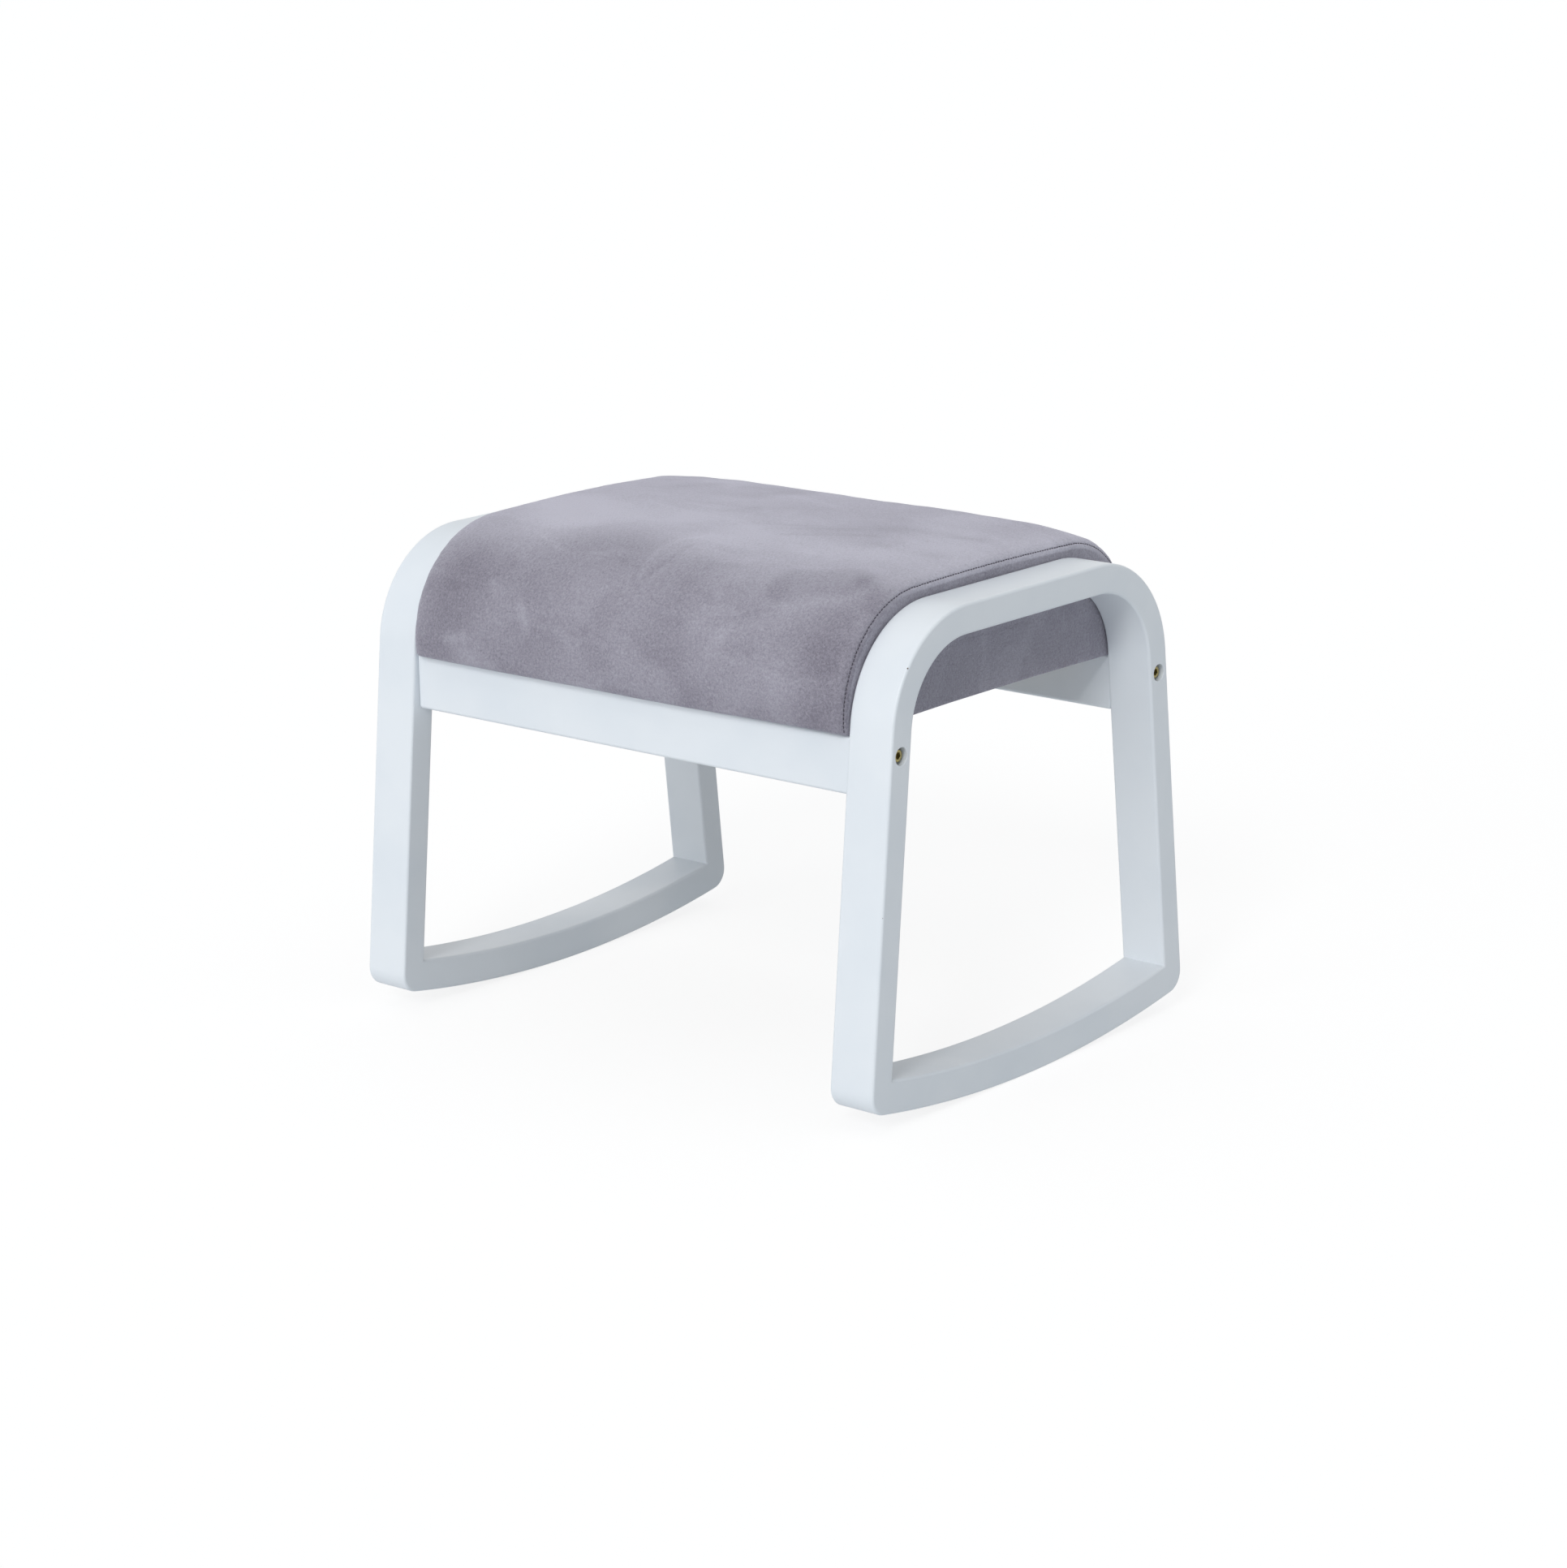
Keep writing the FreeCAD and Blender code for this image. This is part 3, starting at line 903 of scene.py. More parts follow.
@dataclass
class SideFrame:
    """One closed side frame: bent hoop and curved rocker, lacquered in one piece.

    The strips are the numbers of faces along each part of half the outline.
    """

    side: Side
    half_width: float = 270.0
    band: float = 42.0
    height: float = 395.0
    foot_half_depth: float = 208.0
    splay_deg: float = 5.6
    thickness: float = 24.0
    corner_radius: float = 92.0
    rocker_thickness: float = 27.0
    rocker_radius: float = 1080.0
    heel_radius: float = 17.0
    edge_radius: float = 2.5
    edge_strips: int = 6
    rocker_strips: int = 25
    heel_strips: int = 8
    leg_strips: int = 8
    corner_strips: int = 24
    bar_strips: int = 4
    bolt_y: float = 167.21
    bolt_z: float = 293.0
    bore_radius: float = 7.0
    bore_depth: float = 10.8
    bore_easing: float = 0.5
    bore_easing_strips: int = 4
    bore_facets: int = 48
    shank_hole_radius: float = 3.4

    @property
    def splay(self) -> float:
        """Lean of the legs in radians."""
        return math.radians(self.splay_deg)

    def leg_outer(self, height: float) -> float:
        """Half depth at the outer face of a leg, at a height."""
        return self.foot_half_depth - math.tan(self.splay) * height

    def leg_crossing(self, inset: float, radius: float) -> Vector:
        """Where the front leg's outer line, moved inwards, meets a circle of the rocker.

        Args:
            inset: How far the line is moved inwards.
            radius: Radius of the circle about the rocker's centre.

        Returns:
            The point, with X at 0.
        """
        slope = math.tan(self.splay)
        depth = self.foot_half_depth - inset / math.cos(self.splay)
        a = slope**2 + 1
        b = depth * slope + self.rocker_radius
        c = depth**2 + self.rocker_radius**2 - radius**2
        height = (b - math.sqrt(b**2 - a * c)) / a
        return Vector((0, -(depth - slope * height), height))

    def front_half(self, inset: float, heel: bool) -> tuple[list[Vector], list[Vector]]:
        """Half of an outline, from the middle of the rocker over the front leg to the top.

        Args:
            inset: 0 for the outside, the hoop's thickness for the window.
            heel: Whether the foot is rounded, as it is outside.

        Returns:
            Points, and at each the direction out of the wood.
        """
        outward = Vector((0, -math.cos(self.splay), math.sin(self.splay)))
        rocker_centre = Vector((0, 0, self.rocker_radius))
        corner_z = self.height - self.corner_radius
        corner_y = -self.leg_outer(corner_z) + self.corner_radius / math.cos(self.splay)
        corner = Vector((0, corner_y, corner_z))
        leg_turn = math.atan2(outward.z, outward.y)
        facing = 1 if heel else -1
        points: list[Vector] = []
        normals: list[Vector] = []
        if heel:
            centre = self.leg_crossing(self.heel_radius, self.rocker_radius - self.heel_radius)
            ray = (centre - rocker_centre).normalized()
            radius = self.rocker_radius
            sweep = math.asin(-ray.y)
        else:
            radius = self.rocker_radius - self.rocker_thickness
            sweep = math.asin(-self.leg_crossing(inset, radius).y / radius)
        for step in range(self.rocker_strips + 1):
            turn = sweep * step / self.rocker_strips
            normal = Vector((0, -math.sin(turn), -math.cos(turn)))
            points.append(rocker_centre + normal * radius)
            normals.append(normal * facing)
        if heel:
            start = math.atan2(ray.z, ray.y) % (2 * math.pi)
            for step in range(1, self.heel_strips + 1):
                turn = start + (leg_turn - start) * step / self.heel_strips
                normal = Vector((0, math.cos(turn), math.sin(turn)))
                points.append(centre + normal * self.heel_radius)
                normals.append(normal)
        else:
            # The window's foot is sharp: its points stay in one place and move on a mitre
            mitre = normals[-1] - outward
            normals[-1] = mitre * (2 / mitre.length_squared)
            points += [points[-1].copy() for _ in range(self.heel_strips)]
            normals += [normals[-1]] * self.heel_strips
        shoulder = corner + outward * (self.corner_radius - inset)
        foot = points[-1]
        for step in range(1, self.leg_strips + 1):
            points.append(foot.lerp(shoulder, step / self.leg_strips))
            normals.append(outward * facing)
        for step in range(1, self.corner_strips + 1):
            turn = leg_turn + (math.pi / 2 - leg_turn) * step / self.corner_strips
            normal = Vector((0, math.cos(turn), math.sin(turn)))
            points.append(corner + normal * (self.corner_radius - inset))
            normals.append(normal * facing)
        crest = points[-1]
        for step in range(1, self.bar_strips):
            points.append(Vector((0, crest.y * (1 - step / self.bar_strips), crest.z)))
            normals.append(Vector((0, 0, facing)))
        return points, normals

    def loop(self, inset: float, heel: bool, drawn: float) -> list[Vector]:
        """Closed outline, drawn into the wood by the edge rounding.

        Args:
            inset: 0 for the outside, the hoop's thickness for the window.
            heel: Whether the foot is rounded.
            drawn: How far the rounding has drawn in.

        Returns:
            Points all the way round.
        """
        points, normals = self.front_half(inset, heel)
        front = [point - normal * drawn for point, normal in zip(points, normals)]
        top = Vector((0, 0, front[-1].z))
        rear = [Vector((0, -point.y, point.z)) for point in reversed(front[1:])]
        return front + [top] + rear

    def stations(self) -> list[tuple[float, float]]:
        """Place the rows of points across the band.

        Returns:
            Place across and how far the rounding has drawn in, from the inner face out.
        """
        steps = quarter_steps(self.edge_radius, self.edge_strips)
        middle = self.half_width - self.band / 2
        reach = self.band / 2
        outer = [(reach - self.edge_radius + along, drawn) for along, drawn in steps]
        inner = [(-across, drawn) for across, drawn in reversed(outer)]
        return [(middle + across, drawn) for across, drawn in inner + outer]

    def bore_cutter(self, end: End) -> bpy.types.Object:
        """Make the stepped cutter for a bolt: eased mouth, counterbore and shank hole.

        Args:
            end: Front or rear leg.

        Returns:
            The cutter.
        """
        face_x = self.side.value * self.half_width
        start = Vector((face_x, end.value * self.bolt_y, self.bolt_z))
        mouth = self.bore_radius + self.bore_easing
        easing = quarter_steps(self.bore_easing, self.bore_easing_strips)
        profile = [
            (-CUT_PAST, mouth),
            *((along, mouth - drawn) for drawn, along in easing),
            (self.bore_depth, self.bore_radius),
            (self.bore_depth, self.shank_hole_radius),
            (self.band + CUT_PAST, self.shank_hole_radius),
        ]
        inwards = Vector((-self.side.value, 0, 0))
        return lathe("bore_cutter", profile, start, inwards, self.bore_facets)

    def build(self, lacquer: bpy.types.Material) -> bpy.types.Object:
        """Make the frame.

        Args:
            lacquer: Finish of the wood.

        Returns:
            The frame in one piece.
        """
        rows: list[list[Vector]] = []
        for inset, heel in ((0.0, True), (self.thickness, False)):
            for across, drawn in self.stations():
                ring = self.loop(inset, heel, drawn)
                x = across * self.side.value
                rows.append([Vector((x, point.y, point.z)) for point in ring])
        count = len(rows[0])
        strips = len(rows) // 2
        points = np.array([list(point) for row in rows for point in row])
        faces = grid_faces(strips, count) + grid_faces(strips, count, strips * count)
        for row in (0, strips - 1):
            faces += strip_faces(row * count, (strips + row) * count, count)
        name = self.side.name.lower()
        piece = new_piece(name + "_frame", points, faces)
        carve(piece, [self.bore_cutter(end) for end in End])
        crisp(piece)
        nodes = (name + "_hoop", name + "_rocker")
        return settle(piece, lacquer, Slot.LACQUER, *nodes)


@dataclass
class CrossRail:
    """Straight rail between the side frames, with all its edges rounded over."""

    end: End
    half_length: float = 228.0
    middle_y: float = 167.21
    top: float = 303.5
    height: float = 46.0
    thickness: float = 16.0
    edge_radius: float = 3.0
    edge_strips: int = 6
    end_easing: float = 2.5
    end_easing_strips: int = 4
    nut_x: float = 199.5
    nut_hole_radius: float = 5.15
    nut_hole_depth: float = 16.65
    nut_hole_facets: int = 40

    def section(self, drawn: float) -> list[tuple[float, float]]:
        """Draw the rounded section.

        Args:
            drawn: How far the easing of the rail's end draws it in.

        Returns:
            Y and Z of each point, from the section's middle.
        """
        reach_y = self.thickness / 2 - self.edge_radius
        reach_z = self.height / 2 - self.edge_radius
        radius = self.edge_radius - drawn
        points = []
        for quarter, (y, z) in enumerate(((1, 1), (-1, 1), (-1, -1), (1, -1))):
            for step in range(self.edge_strips + 1):
                turn = math.pi / 2 * (quarter + step / self.edge_strips)
                along_y = y * reach_y + radius * math.cos(turn)
                along_z = z * reach_z + radius * math.sin(turn)
                points.append((along_y, along_z))
        return points

    def nut_cutter(self, side: Side) -> bpy.types.Object:
        """Make the cutter for a barrel nut's blind hole, from the top, under the pad.

        Args:
            side: Right or left end of the rail.

        Returns:
            The cutter.
        """
        middle_y = self.end.value * self.middle_y
        start = Vector((side.value * self.nut_x, middle_y, self.top + CUT_PAST))
        depths = (0.0, self.nut_hole_depth + CUT_PAST)
        profile = [(depth, self.nut_hole_radius) for depth in depths]
        return lathe("nut_cutter", profile, start, Vector((0, 0, -1)), self.nut_hole_facets)

    def build(self, lacquer: bpy.types.Material) -> bpy.types.Object:
        """Make the rail.

        Args:
            lacquer: Finish of the wood.

        Returns:
            The rail.
        """
        name = self.end.name.lower()
        steps = quarter_steps(self.end_easing, self.end_easing_strips)
        right = [(self.half_length - self.end_easing + along, drawn) for along, drawn in steps]
        left = [(-x, drawn) for x, drawn in reversed(right)]
        middle_y = self.end.value * self.middle_y
        middle_z = self.top - self.height / 2
        points = []
        for x, drawn in left + right:
            for y, z in self.section(drawn):
                points.append((x, middle_y + y, middle_z + z))
        count = len(self.section(0.0))
        faces = tube_faces(len(points) // count, count)
        piece = new_piece(name + "_cross_rail", np.array(points), faces)
        carve(piece, [self.nut_cutter(side) for side in Side])
        crisp(piece)
        return settle(piece, lacquer, Slot.LACQUER, name + "_rail")


@dataclass
class SocketBolt:
    """Socket-head bolt, sunk in a leg, with a knurled and chamfered head.

    Each knurl takes four points round the head: two on its ridge and two in its groove.
    """

    side: Side
    end: End
    seat_x: float = 260.8
    axis_y: float = 167.21
    axis_z: float = 293.0
    head_radius: float = 5.0
    head_height: float = 6.0
    chamfer: float = 0.6
    under_chamfer: float = 0.3
    socket_sides: int = 6
    socket_flats: float = 5.0
    socket_depth: float = 3.5
    socket_mouth: float = 0.3
    socket_point_depth: float = 0.8
    socket_point_radius: float = 0.2
    shank_radius: float = 3.0
    shank_length: float = 65.0
    tip_chamfer: float = 0.5
    knurls: int = 36
    knurl_points: int = 4
    knurl_depth: float = 0.18
    sharp_deg: float = 20.0

    def build(self, zinc: bpy.types.Material) -> bpy.types.Object:
        """Make the bolt.

        Args:
            zinc: Finish of the bolt.

        Returns:
            The bolt.
        """
        x = self.side.value * (self.seat_x + self.head_height)
        start = Vector((x, self.end.value * self.axis_y, self.axis_z))
        inwards = Vector((-self.side.value, 0, 0))
        steps = self.knurls * self.knurl_points
        tip = self.head_height + self.shank_length
        shape = [
            (0.0, self.head_radius - self.chamfer, False),
            (self.chamfer, self.head_radius, True),
            (self.head_height - self.under_chamfer, self.head_radius, True),
            (self.head_height, self.head_radius - self.under_chamfer, False),
            (self.head_height, self.shank_radius, False),
            (tip - self.tip_chamfer, self.shank_radius, False),
            (tip, self.shank_radius - self.tip_chamfer, False),
        ]
        side = Vector((0, 1, 0))
        other = inwards.cross(side)
        points = []
        for along, radius, knurled in shape:
            for step in range(steps):
                turn = 2 * math.pi * step / steps
                grooved = knurled and step % self.knurl_points >= self.knurl_points // 2
                depth = self.knurl_depth if grooved else 0.0
                offset = side * math.cos(turn) + other * math.sin(turn)
                points.append(start + inwards * along + offset * (radius - depth))
        name = f"joint_bolt_{self.side.name.lower()}_{self.end.name.lower()}"
        piece = new_piece(name, np.array(points), tube_faces(len(shape), steps))
        socket_radius = self.socket_flats / math.sqrt(3)
        profile = [
            (-CUT_PAST, socket_radius + CUT_PAST),
            (self.socket_mouth, socket_radius),
            (self.socket_depth, socket_radius),
            (self.socket_depth + self.socket_point_depth, self.socket_point_radius),
        ]
        carve(piece, [lathe("socket_cutter", profile, start, inwards, self.socket_sides)])
        crisp(piece, self.sharp_deg)
        return settle(piece, zinc, Slot.YELLOW_ZINC, "joint_bolts")


# Upholstered pad


@dataclass(frozen=True)
class Mark:
    """Line over the pad where the cloth is creased, or its nap lies another way.

    Points are places across the width and along the skin from the front hem, in
    millimetres. Height is how far the cloth stands out. Lightness is how much lighter it looks.
    """

    points: tuple[tuple[float, float], ...]
    width: float
    height: float = 0.0
    nap: float = 0.0
    crispness: float = 2.0

    def share(self, across: np.ndarray, along: np.ndarray) -> np.ndarray:
        """Work out how strongly the mark shows.

        Args:
            across: Places across the width.
            along: Places along the skin.

        Returns:
            Strength at each place, from 0 to 1.
        """
        nearest = np.full(across.shape, np.inf)
        for (ax, ay), (bx, by) in zip(self.points, self.points[1:]):
            length = math.hypot(bx - ax, by - ay)
            turn_x, turn_y = (bx - ax) / length, (by - ay) / length
            passed = (across - ax) * turn_x + (along - ay) * turn_y
            passed = np.clip(passed, 0.0, length)
            away = np.hypot(across - ax - passed * turn_x, along - ay - passed * turn_y)
            nearest = np.minimum(nearest, away)
        return np.exp(-((nearest / self.width) ** self.crispness))


def ripple(across: np.ndarray, along: np.ndarray, size: float, seed: float) -> np.ndarray:
    """Smooth random waves between about -1 and 1.

    Args:
        across: Places across the width.
        along: Places along the skin.
        size: Usual width of a wave, in the same unit.
        seed: Number that picks the pattern.

    Returns:
        Height of the waves at each place.
    """
    places = zip(across / size, along / size)
    return np.array([noise.noise(Vector((x, y, seed))) for x, y in places]) * NOISE_GAIN


def ramp(values: float | np.ndarray, start: float, end: float) -> np.ndarray:
    """Smooth rise from 0 at the start to 1 at the end."""
    share = np.clip((values - start) / (end - start), 0.0, 1.0)
    return share * share * (3 - 2 * share)


def distances(steps: Iterable[float]) -> np.ndarray:
    """Distance from the start at each point of a line, from the steps between them."""
    return np.concatenate(([0.0], np.cumsum(steps)))


@dataclass
class Cushion:
    """Arched and crowned pad in one skin, with seams over both shoulders.

    Pairs of places give where something starts and where it is full, as reach from an
    edge, a seam or a rail. Waves are given by their height, their size and a seed.
    """

    half_width: float = 227.4
    half_depth: float = 184.24
    bottom: float = 303.5
    frame_top: float = 395.0
    rise: float = 13.7
    crown: float = 9.4
    belly_side: float = 1.0
    belly_middle: float = 3.0
    front_corner_radius: float = 93.0
    rear_corner_radius: float = 81.0
    top_radius_side: float = 3000.0
    top_radius_middle: float = 1500.0
    crown_power: float = 6.0
    # Strips over the hem's rounding, the front or rear face, the corner and half the top
    arc_strips: tuple[int, ...] = (5, 8, 50, 42)
    right_shoulder_radius: float = 6.8
    left_shoulder_radius: float = 14.5
    hem_radius: float = 4.0
    side_hem_radius: float = 1.6
    side_hem_lift: float = 1.3
    side_hem_reach: float = 16.0
    side_hem_easing: float = 10.0
    hem_window: tuple[float, float] = (196.1, 159.71)
    hem_thickness: float = 2.5
    hem_step: float = 0.1
    hem_strips: int = 4
    rail_face_y: float = 175.21
    rail_inner_y: float = 159.0
    rail_inner_reach: float = 14.0
    # Strips across the window and beside it, and turns round a shoulder
    window_strips: int = 66
    edge_strips: int = 8
    turns_before_seam: tuple[float, ...] = (0, 10, 20, 29, 37, 45)
    turns_about_seam: tuple[float, ...] = (-9, -5, -2.5, 0, 2.5, 5, 9)
    turns_after_seam: tuple[float, ...] = (77, 83, 90)
    # Side panel: rings from its outline to its spine, and how it sinks in between
    panel_rings: tuple[float, ...] = (
        0.03, 0.07, 0.13, 0.21, 0.31, 0.42, 0.54, 0.66, 0.78, 0.88, 0.96
    )
    panel_spine_inset: float = 60.0
    panel_dent: float = 0.7
    panel_dent_size: tuple[float, float] = (45.0, 30.0)
    panel_dent_bias: float = 0.6
    panel_dent_rise: float = 6.0
    seam_angle_deg: float = 62.0
    seam_depth: float = 0.55
    seam_width: float = 0.75
    seam_pucker_share: float = 0.3
    pucker_depth: float = 0.35
    pucker_pitch: float = 7.0
    pucker_reach: float = 11.0
    pucker_stretch: float = 0.25
    pucker_seed: float = 11.3
    waves: tuple[tuple[float, float, float], ...] = ((0.9, 85.0, 3.1), (0.25, 24.0, 7.7))
    wave_reach: tuple[float, float] = (3.0, 30.0)
    relief_reach: tuple[float, float] = (2.0, 16.0)
    # Beyond a seam the relief fades out between these turns of the shoulder, in radians
    relief_turns: tuple[float, float] = (0.3, 0.5)
    hem_lift: float = 1.7
    hem_lift_reach: tuple[float, float] = (40.0, 200.0)
    hem_wave: tuple[float, float, float] = (0.5, 38.0, 2.2)
    hem_wave_apart: float = 40.0
    hem_wave_height: tuple[float, float] = (2.0, 22.0)
    rail_face_reach: float = 5.0
    # Lightness from the nap and painted light: a painted sheen makes the top lighter than the
    # front and rear, and painted shade darkens the front, rear, shoulder strips, side panels
    # and underside
    painted_front_rear_shade: float = 0.21
    painted_side_and_under_shade: float = 0.12
    painted_shoulder_shade: float = 0.02
    nap_wave: tuple[float, float, float] = (0.1, 60.0, 5.5)
    painted_top_sheen: float = 0.455
    painted_sheen_front_reach: tuple[float, float] = (70.0, 210.0)
    painted_sheen_rear_reach: tuple[float, float] = (60.0, 150.0)
    # Cloth simulation: settings of the cloth and of the foam that presses it out
    cloth_quality: int = 5
    cloth_mass: float = 0.25
    cloth_tension: float = 40.0
    cloth_compression: float = 20.0
    cloth_bending: float = 2.0
    cloth_free_share: float = 0.9
    cloth_free_reach: tuple[float, float] = (4.0, 30.0)
    press_force: float = 4.0
    press_frames: int = 12
    press_limit: float = 1.2
    stitch_pitch: float = 3.2
    stitch_length: float = 2.5
    stitch_radius: float = 0.4
    stitch_start: float = 1.0
    stitch_rise: float = 0.2
    stitch_arch: float = 0.9
    stitch_corners: int = 6
    # Share of the length and of the radius at each ring of a stitch
    stitch_rings: tuple[tuple[float, float], ...] = (
        (0.0, 0.4), (0.12, 0.85), (0.5, 1.0), (0.88, 0.85), (1.0, 0.4)
    )
    # Points at each end of the outline that lie on the hem's rounding, without a seam
    seam_end_points: int = 4
    marks: tuple[Mark, ...] = (
        Mark(((0, 101), (-4, 133), (4, 159), (18, 174)), 2.6, 0.35, 0.1),
        Mark(((7, 104), (15, 127), (18, 151)), 2.2, -0.3, -0.1),
        Mark(((-7, 89), (-11, 107)), 2.5, 0.25, 0.06),
        Mark(((66, 205), (134, 243)), 4.0, -0.2, -0.1),
        Mark(((40, 217), (102, 252)), 4.5, 0.2, -0.07),
        Mark(((18, 225), (62, 242)), 4.0, -0.2, -0.07),
        Mark(((117, 265), (161, 287)), 13.0, 0.0, -0.13),
        Mark(((150, 220), (197, 225)), 13.0, 0.0, -0.12),
        Mark(((176, 287), (190, 295)), 8.0, -0.1, -0.15),
        Mark(((-58, 318), (-44, 352)), 14.0, 0.1, -0.14),
        Mark(((-142, 318), (-124, 340)), 13.0, 0.0, -0.12),
        Mark(((-34, 255), (-20, 268)), 12.0, 0.0, -0.1),
        Mark(((143, 120), (182, 137)), 21.0, 0.0, -0.16, 7.0),
        Mark(((197, 142), (216, 133), (220, 116)), 9.0, 0.0, -0.12, 3.0),
        Mark(((-161, 95), (-179, 57), (-190, 22)), 26.0, 0.0, -0.08, 4.0),
        Mark(((-120, 96), (-62, 62), (60, 54)), 22.0, 0.0, -0.06, 4.0),
        Mark(((-106, 60), (-95, 43)), 5.0, 0.0, 0.1, 3.0),
        Mark(((-183, 25), (-165, 28)), 5.0, 0.0, 0.12, 3.0),
        Mark(((-124, 159), (-48, 199), (91, 170)), 40.0, 0.0, 0.14, 3.0),
        Mark(((20, 48), (85, 55)), 34.0, 0.0, 0.12, 2.5),
        Mark(((196, 20), (200, 60)), 22.0, 0.0, -0.1, 2.5),
        Mark(((-195, 140), (-160, 200)), 38.0, 0.0, 0.18, 2.5),
        Mark(((55, 20), (75, 34)), 20.0, 0.0, 0.08, 2.5),
        Mark(((-222, 95), (-220, 165)), 18.0, 0.0, 0.13, 2.5),
    )

    def half_outline(self, x: float, drawn: float, end: End) -> np.ndarray:
        """Front or rear half of the pad's outline at a place across its width.

        Args:
            x: Place across the width.
            drawn: How far the shoulder has drawn the outline in.
            end: Which half.

        Returns:
            Rows of Y and Z from the underside of the hem to the crest.
        """
        share = 1 - min(1.0, abs(x) / self.half_width) ** self.crown_power
        belly = self.belly_side + (self.belly_middle - self.belly_side) * share
        curvature = (1 - share) / self.top_radius_side + share / self.top_radius_middle
        crest = self.frame_top + self.rise + self.crown * share
        radius = self.front_corner_radius if end is End.FRONT else self.rear_corner_radius
        centre_y = self.half_depth + belly - radius
        reach = 1 / curvature - radius
        centre_z = crest - 1 / curvature + math.sqrt(reach**2 - centre_y**2)
        drop = centre_z - self.bottom
        side_radius = (belly**2 + drop**2) / (2 * belly)
        side_y = side_radius - self.half_depth - belly
        side_radius -= drawn
        lift = math.asin((drop - self.hem_radius) / side_radius)
        hem_y = side_y - side_radius * math.cos(lift) + self.hem_radius
        hem_z = self.bottom + self.hem_radius
        top_turn = math.pi / 2 + math.asin(centre_y / reach)
        # Y and Z of the middle, radius, first turn and last turn of each arc
        arcs = (
            (hem_y, hem_z, self.hem_radius, -math.pi / 2, -math.pi),
            (side_y, centre_z, side_radius, math.pi + lift, math.pi),
            (-centre_y, centre_z, radius - drawn, math.pi, top_turn),
            (0.0, crest - 1 / curvature, 1 / curvature - drawn, top_turn, math.pi / 2),
        )
        rows = []
        for (arc_y, arc_z, arc_radius, first, last), strips in zip(arcs, self.arc_strips):
            for step in range(1 if rows else 0, strips + 1):
                turn = first + (last - first) * step / strips
                y = arc_y + arc_radius * math.cos(turn)
                rows.append((-end.value * y, arc_z + arc_radius * math.sin(turn)))
        return np.array(rows)

    def shoulder_radius(self, place: float | np.ndarray) -> np.ndarray:
        """Radius of the shoulder on the side where a place across lies."""
        right = np.asarray(place) > 0
        return np.where(right, self.right_shoulder_radius, self.left_shoulder_radius)

    def seam_x(self, radius: float | np.ndarray) -> float | np.ndarray:
        """Distance of a seam from the middle plane, at the radius of its shoulder."""
        return self.half_width - radius * (1 - math.sin(math.radians(self.seam_angle_deg)))

    def outline(self, x: float, drawn: float) -> np.ndarray:
        """Draw the pad's outline at a place across its width.

        Args:
            x: Place across the width.
            drawn: How far the shoulder has drawn the outline in.

        Returns:
            Rows of Y and Z from the front hem over the crest to the rear hem.
        """
        front = self.half_outline(x, drawn, End.FRONT)
        rear = self.half_outline(x, drawn, End.REAR)
        return np.concatenate((front, rear[-2::-1]))

    def stations(self) -> list[tuple[float, float, float]]:
        """Place the outlines across the pad.

        Returns:
            Place across, how far it is drawn in, and its distance over the skin.
        """
        window = self.hem_window[0]
        turns = [
            *self.turns_before_seam,
            *(self.seam_angle_deg + turn for turn in self.turns_about_seam),
            *self.turns_after_seam,
        ]
        ends = {}
        for side in Side:
            radius = float(self.shoulder_radius(side.value))
            flat = self.half_width - radius
            room = flat - window - self.hem_step
            rows = []
            for step in range(self.edge_strips):
                x = window + self.hem_step + room * step / self.edge_strips
                rows.append((x, 0.0, x))
            for turn in np.radians(turns):
                drawn = radius * (1 - math.cos(turn))
                rows.append((flat + radius * math.sin(turn), drawn, flat + radius * turn))
            ends[side] = [(side.value * x, drawn, side.value * over) for x, drawn, over in rows]
        steps = range(-self.window_strips, self.window_strips + 1)
        across = [window * step / self.window_strips for step in steps]
        middle = [(x, 0.0, x) for x in across]
        return ends[Side.LEFT][::-1] + middle + ends[Side.RIGHT]

    def underside(self, x: float, front_y: float) -> list[tuple[float, float]]:
        """Draw the hem's underside at a place across.

        Args:
            x: Place across the width.
            front_y: Y of the front hem there.

        Returns:
            Y and Z of its points, from the rear to the front.
        """
        reach = self.hem_window[1]
        inside = abs(x) <= self.hem_window[0]
        window_z = self.bottom + (self.hem_thickness if inside else 0.0)
        shares = [step / self.hem_strips for step in range(1, self.hem_strips)]
        front = [(front_y + (-reach - front_y) * share, self.bottom) for share in shares]
        front += [(-reach, self.bottom), (-reach + self.hem_step, window_z)]
        front.append((-reach / 3, window_z))
        return [(-y, z) for y, z in front] + list(reversed(front))

    def side_rise(self, x: float) -> tuple[float, float]:
        """Work out how the hem rises near a side.

        Args:
            x: Place across the width.

        Returns:
            The rise by its rounding, and what it rises more inside the rails.
        """
        edge = self.half_width - abs(x)
        past = max(0.0, self.side_hem_radius - edge)
        rounding = self.side_hem_radius - math.sqrt(self.side_hem_radius**2 - past**2)
        near = float(ramp(self.side_hem_reach - edge, 0.0, self.side_hem_easing))
        return rounding, self.side_hem_lift * near

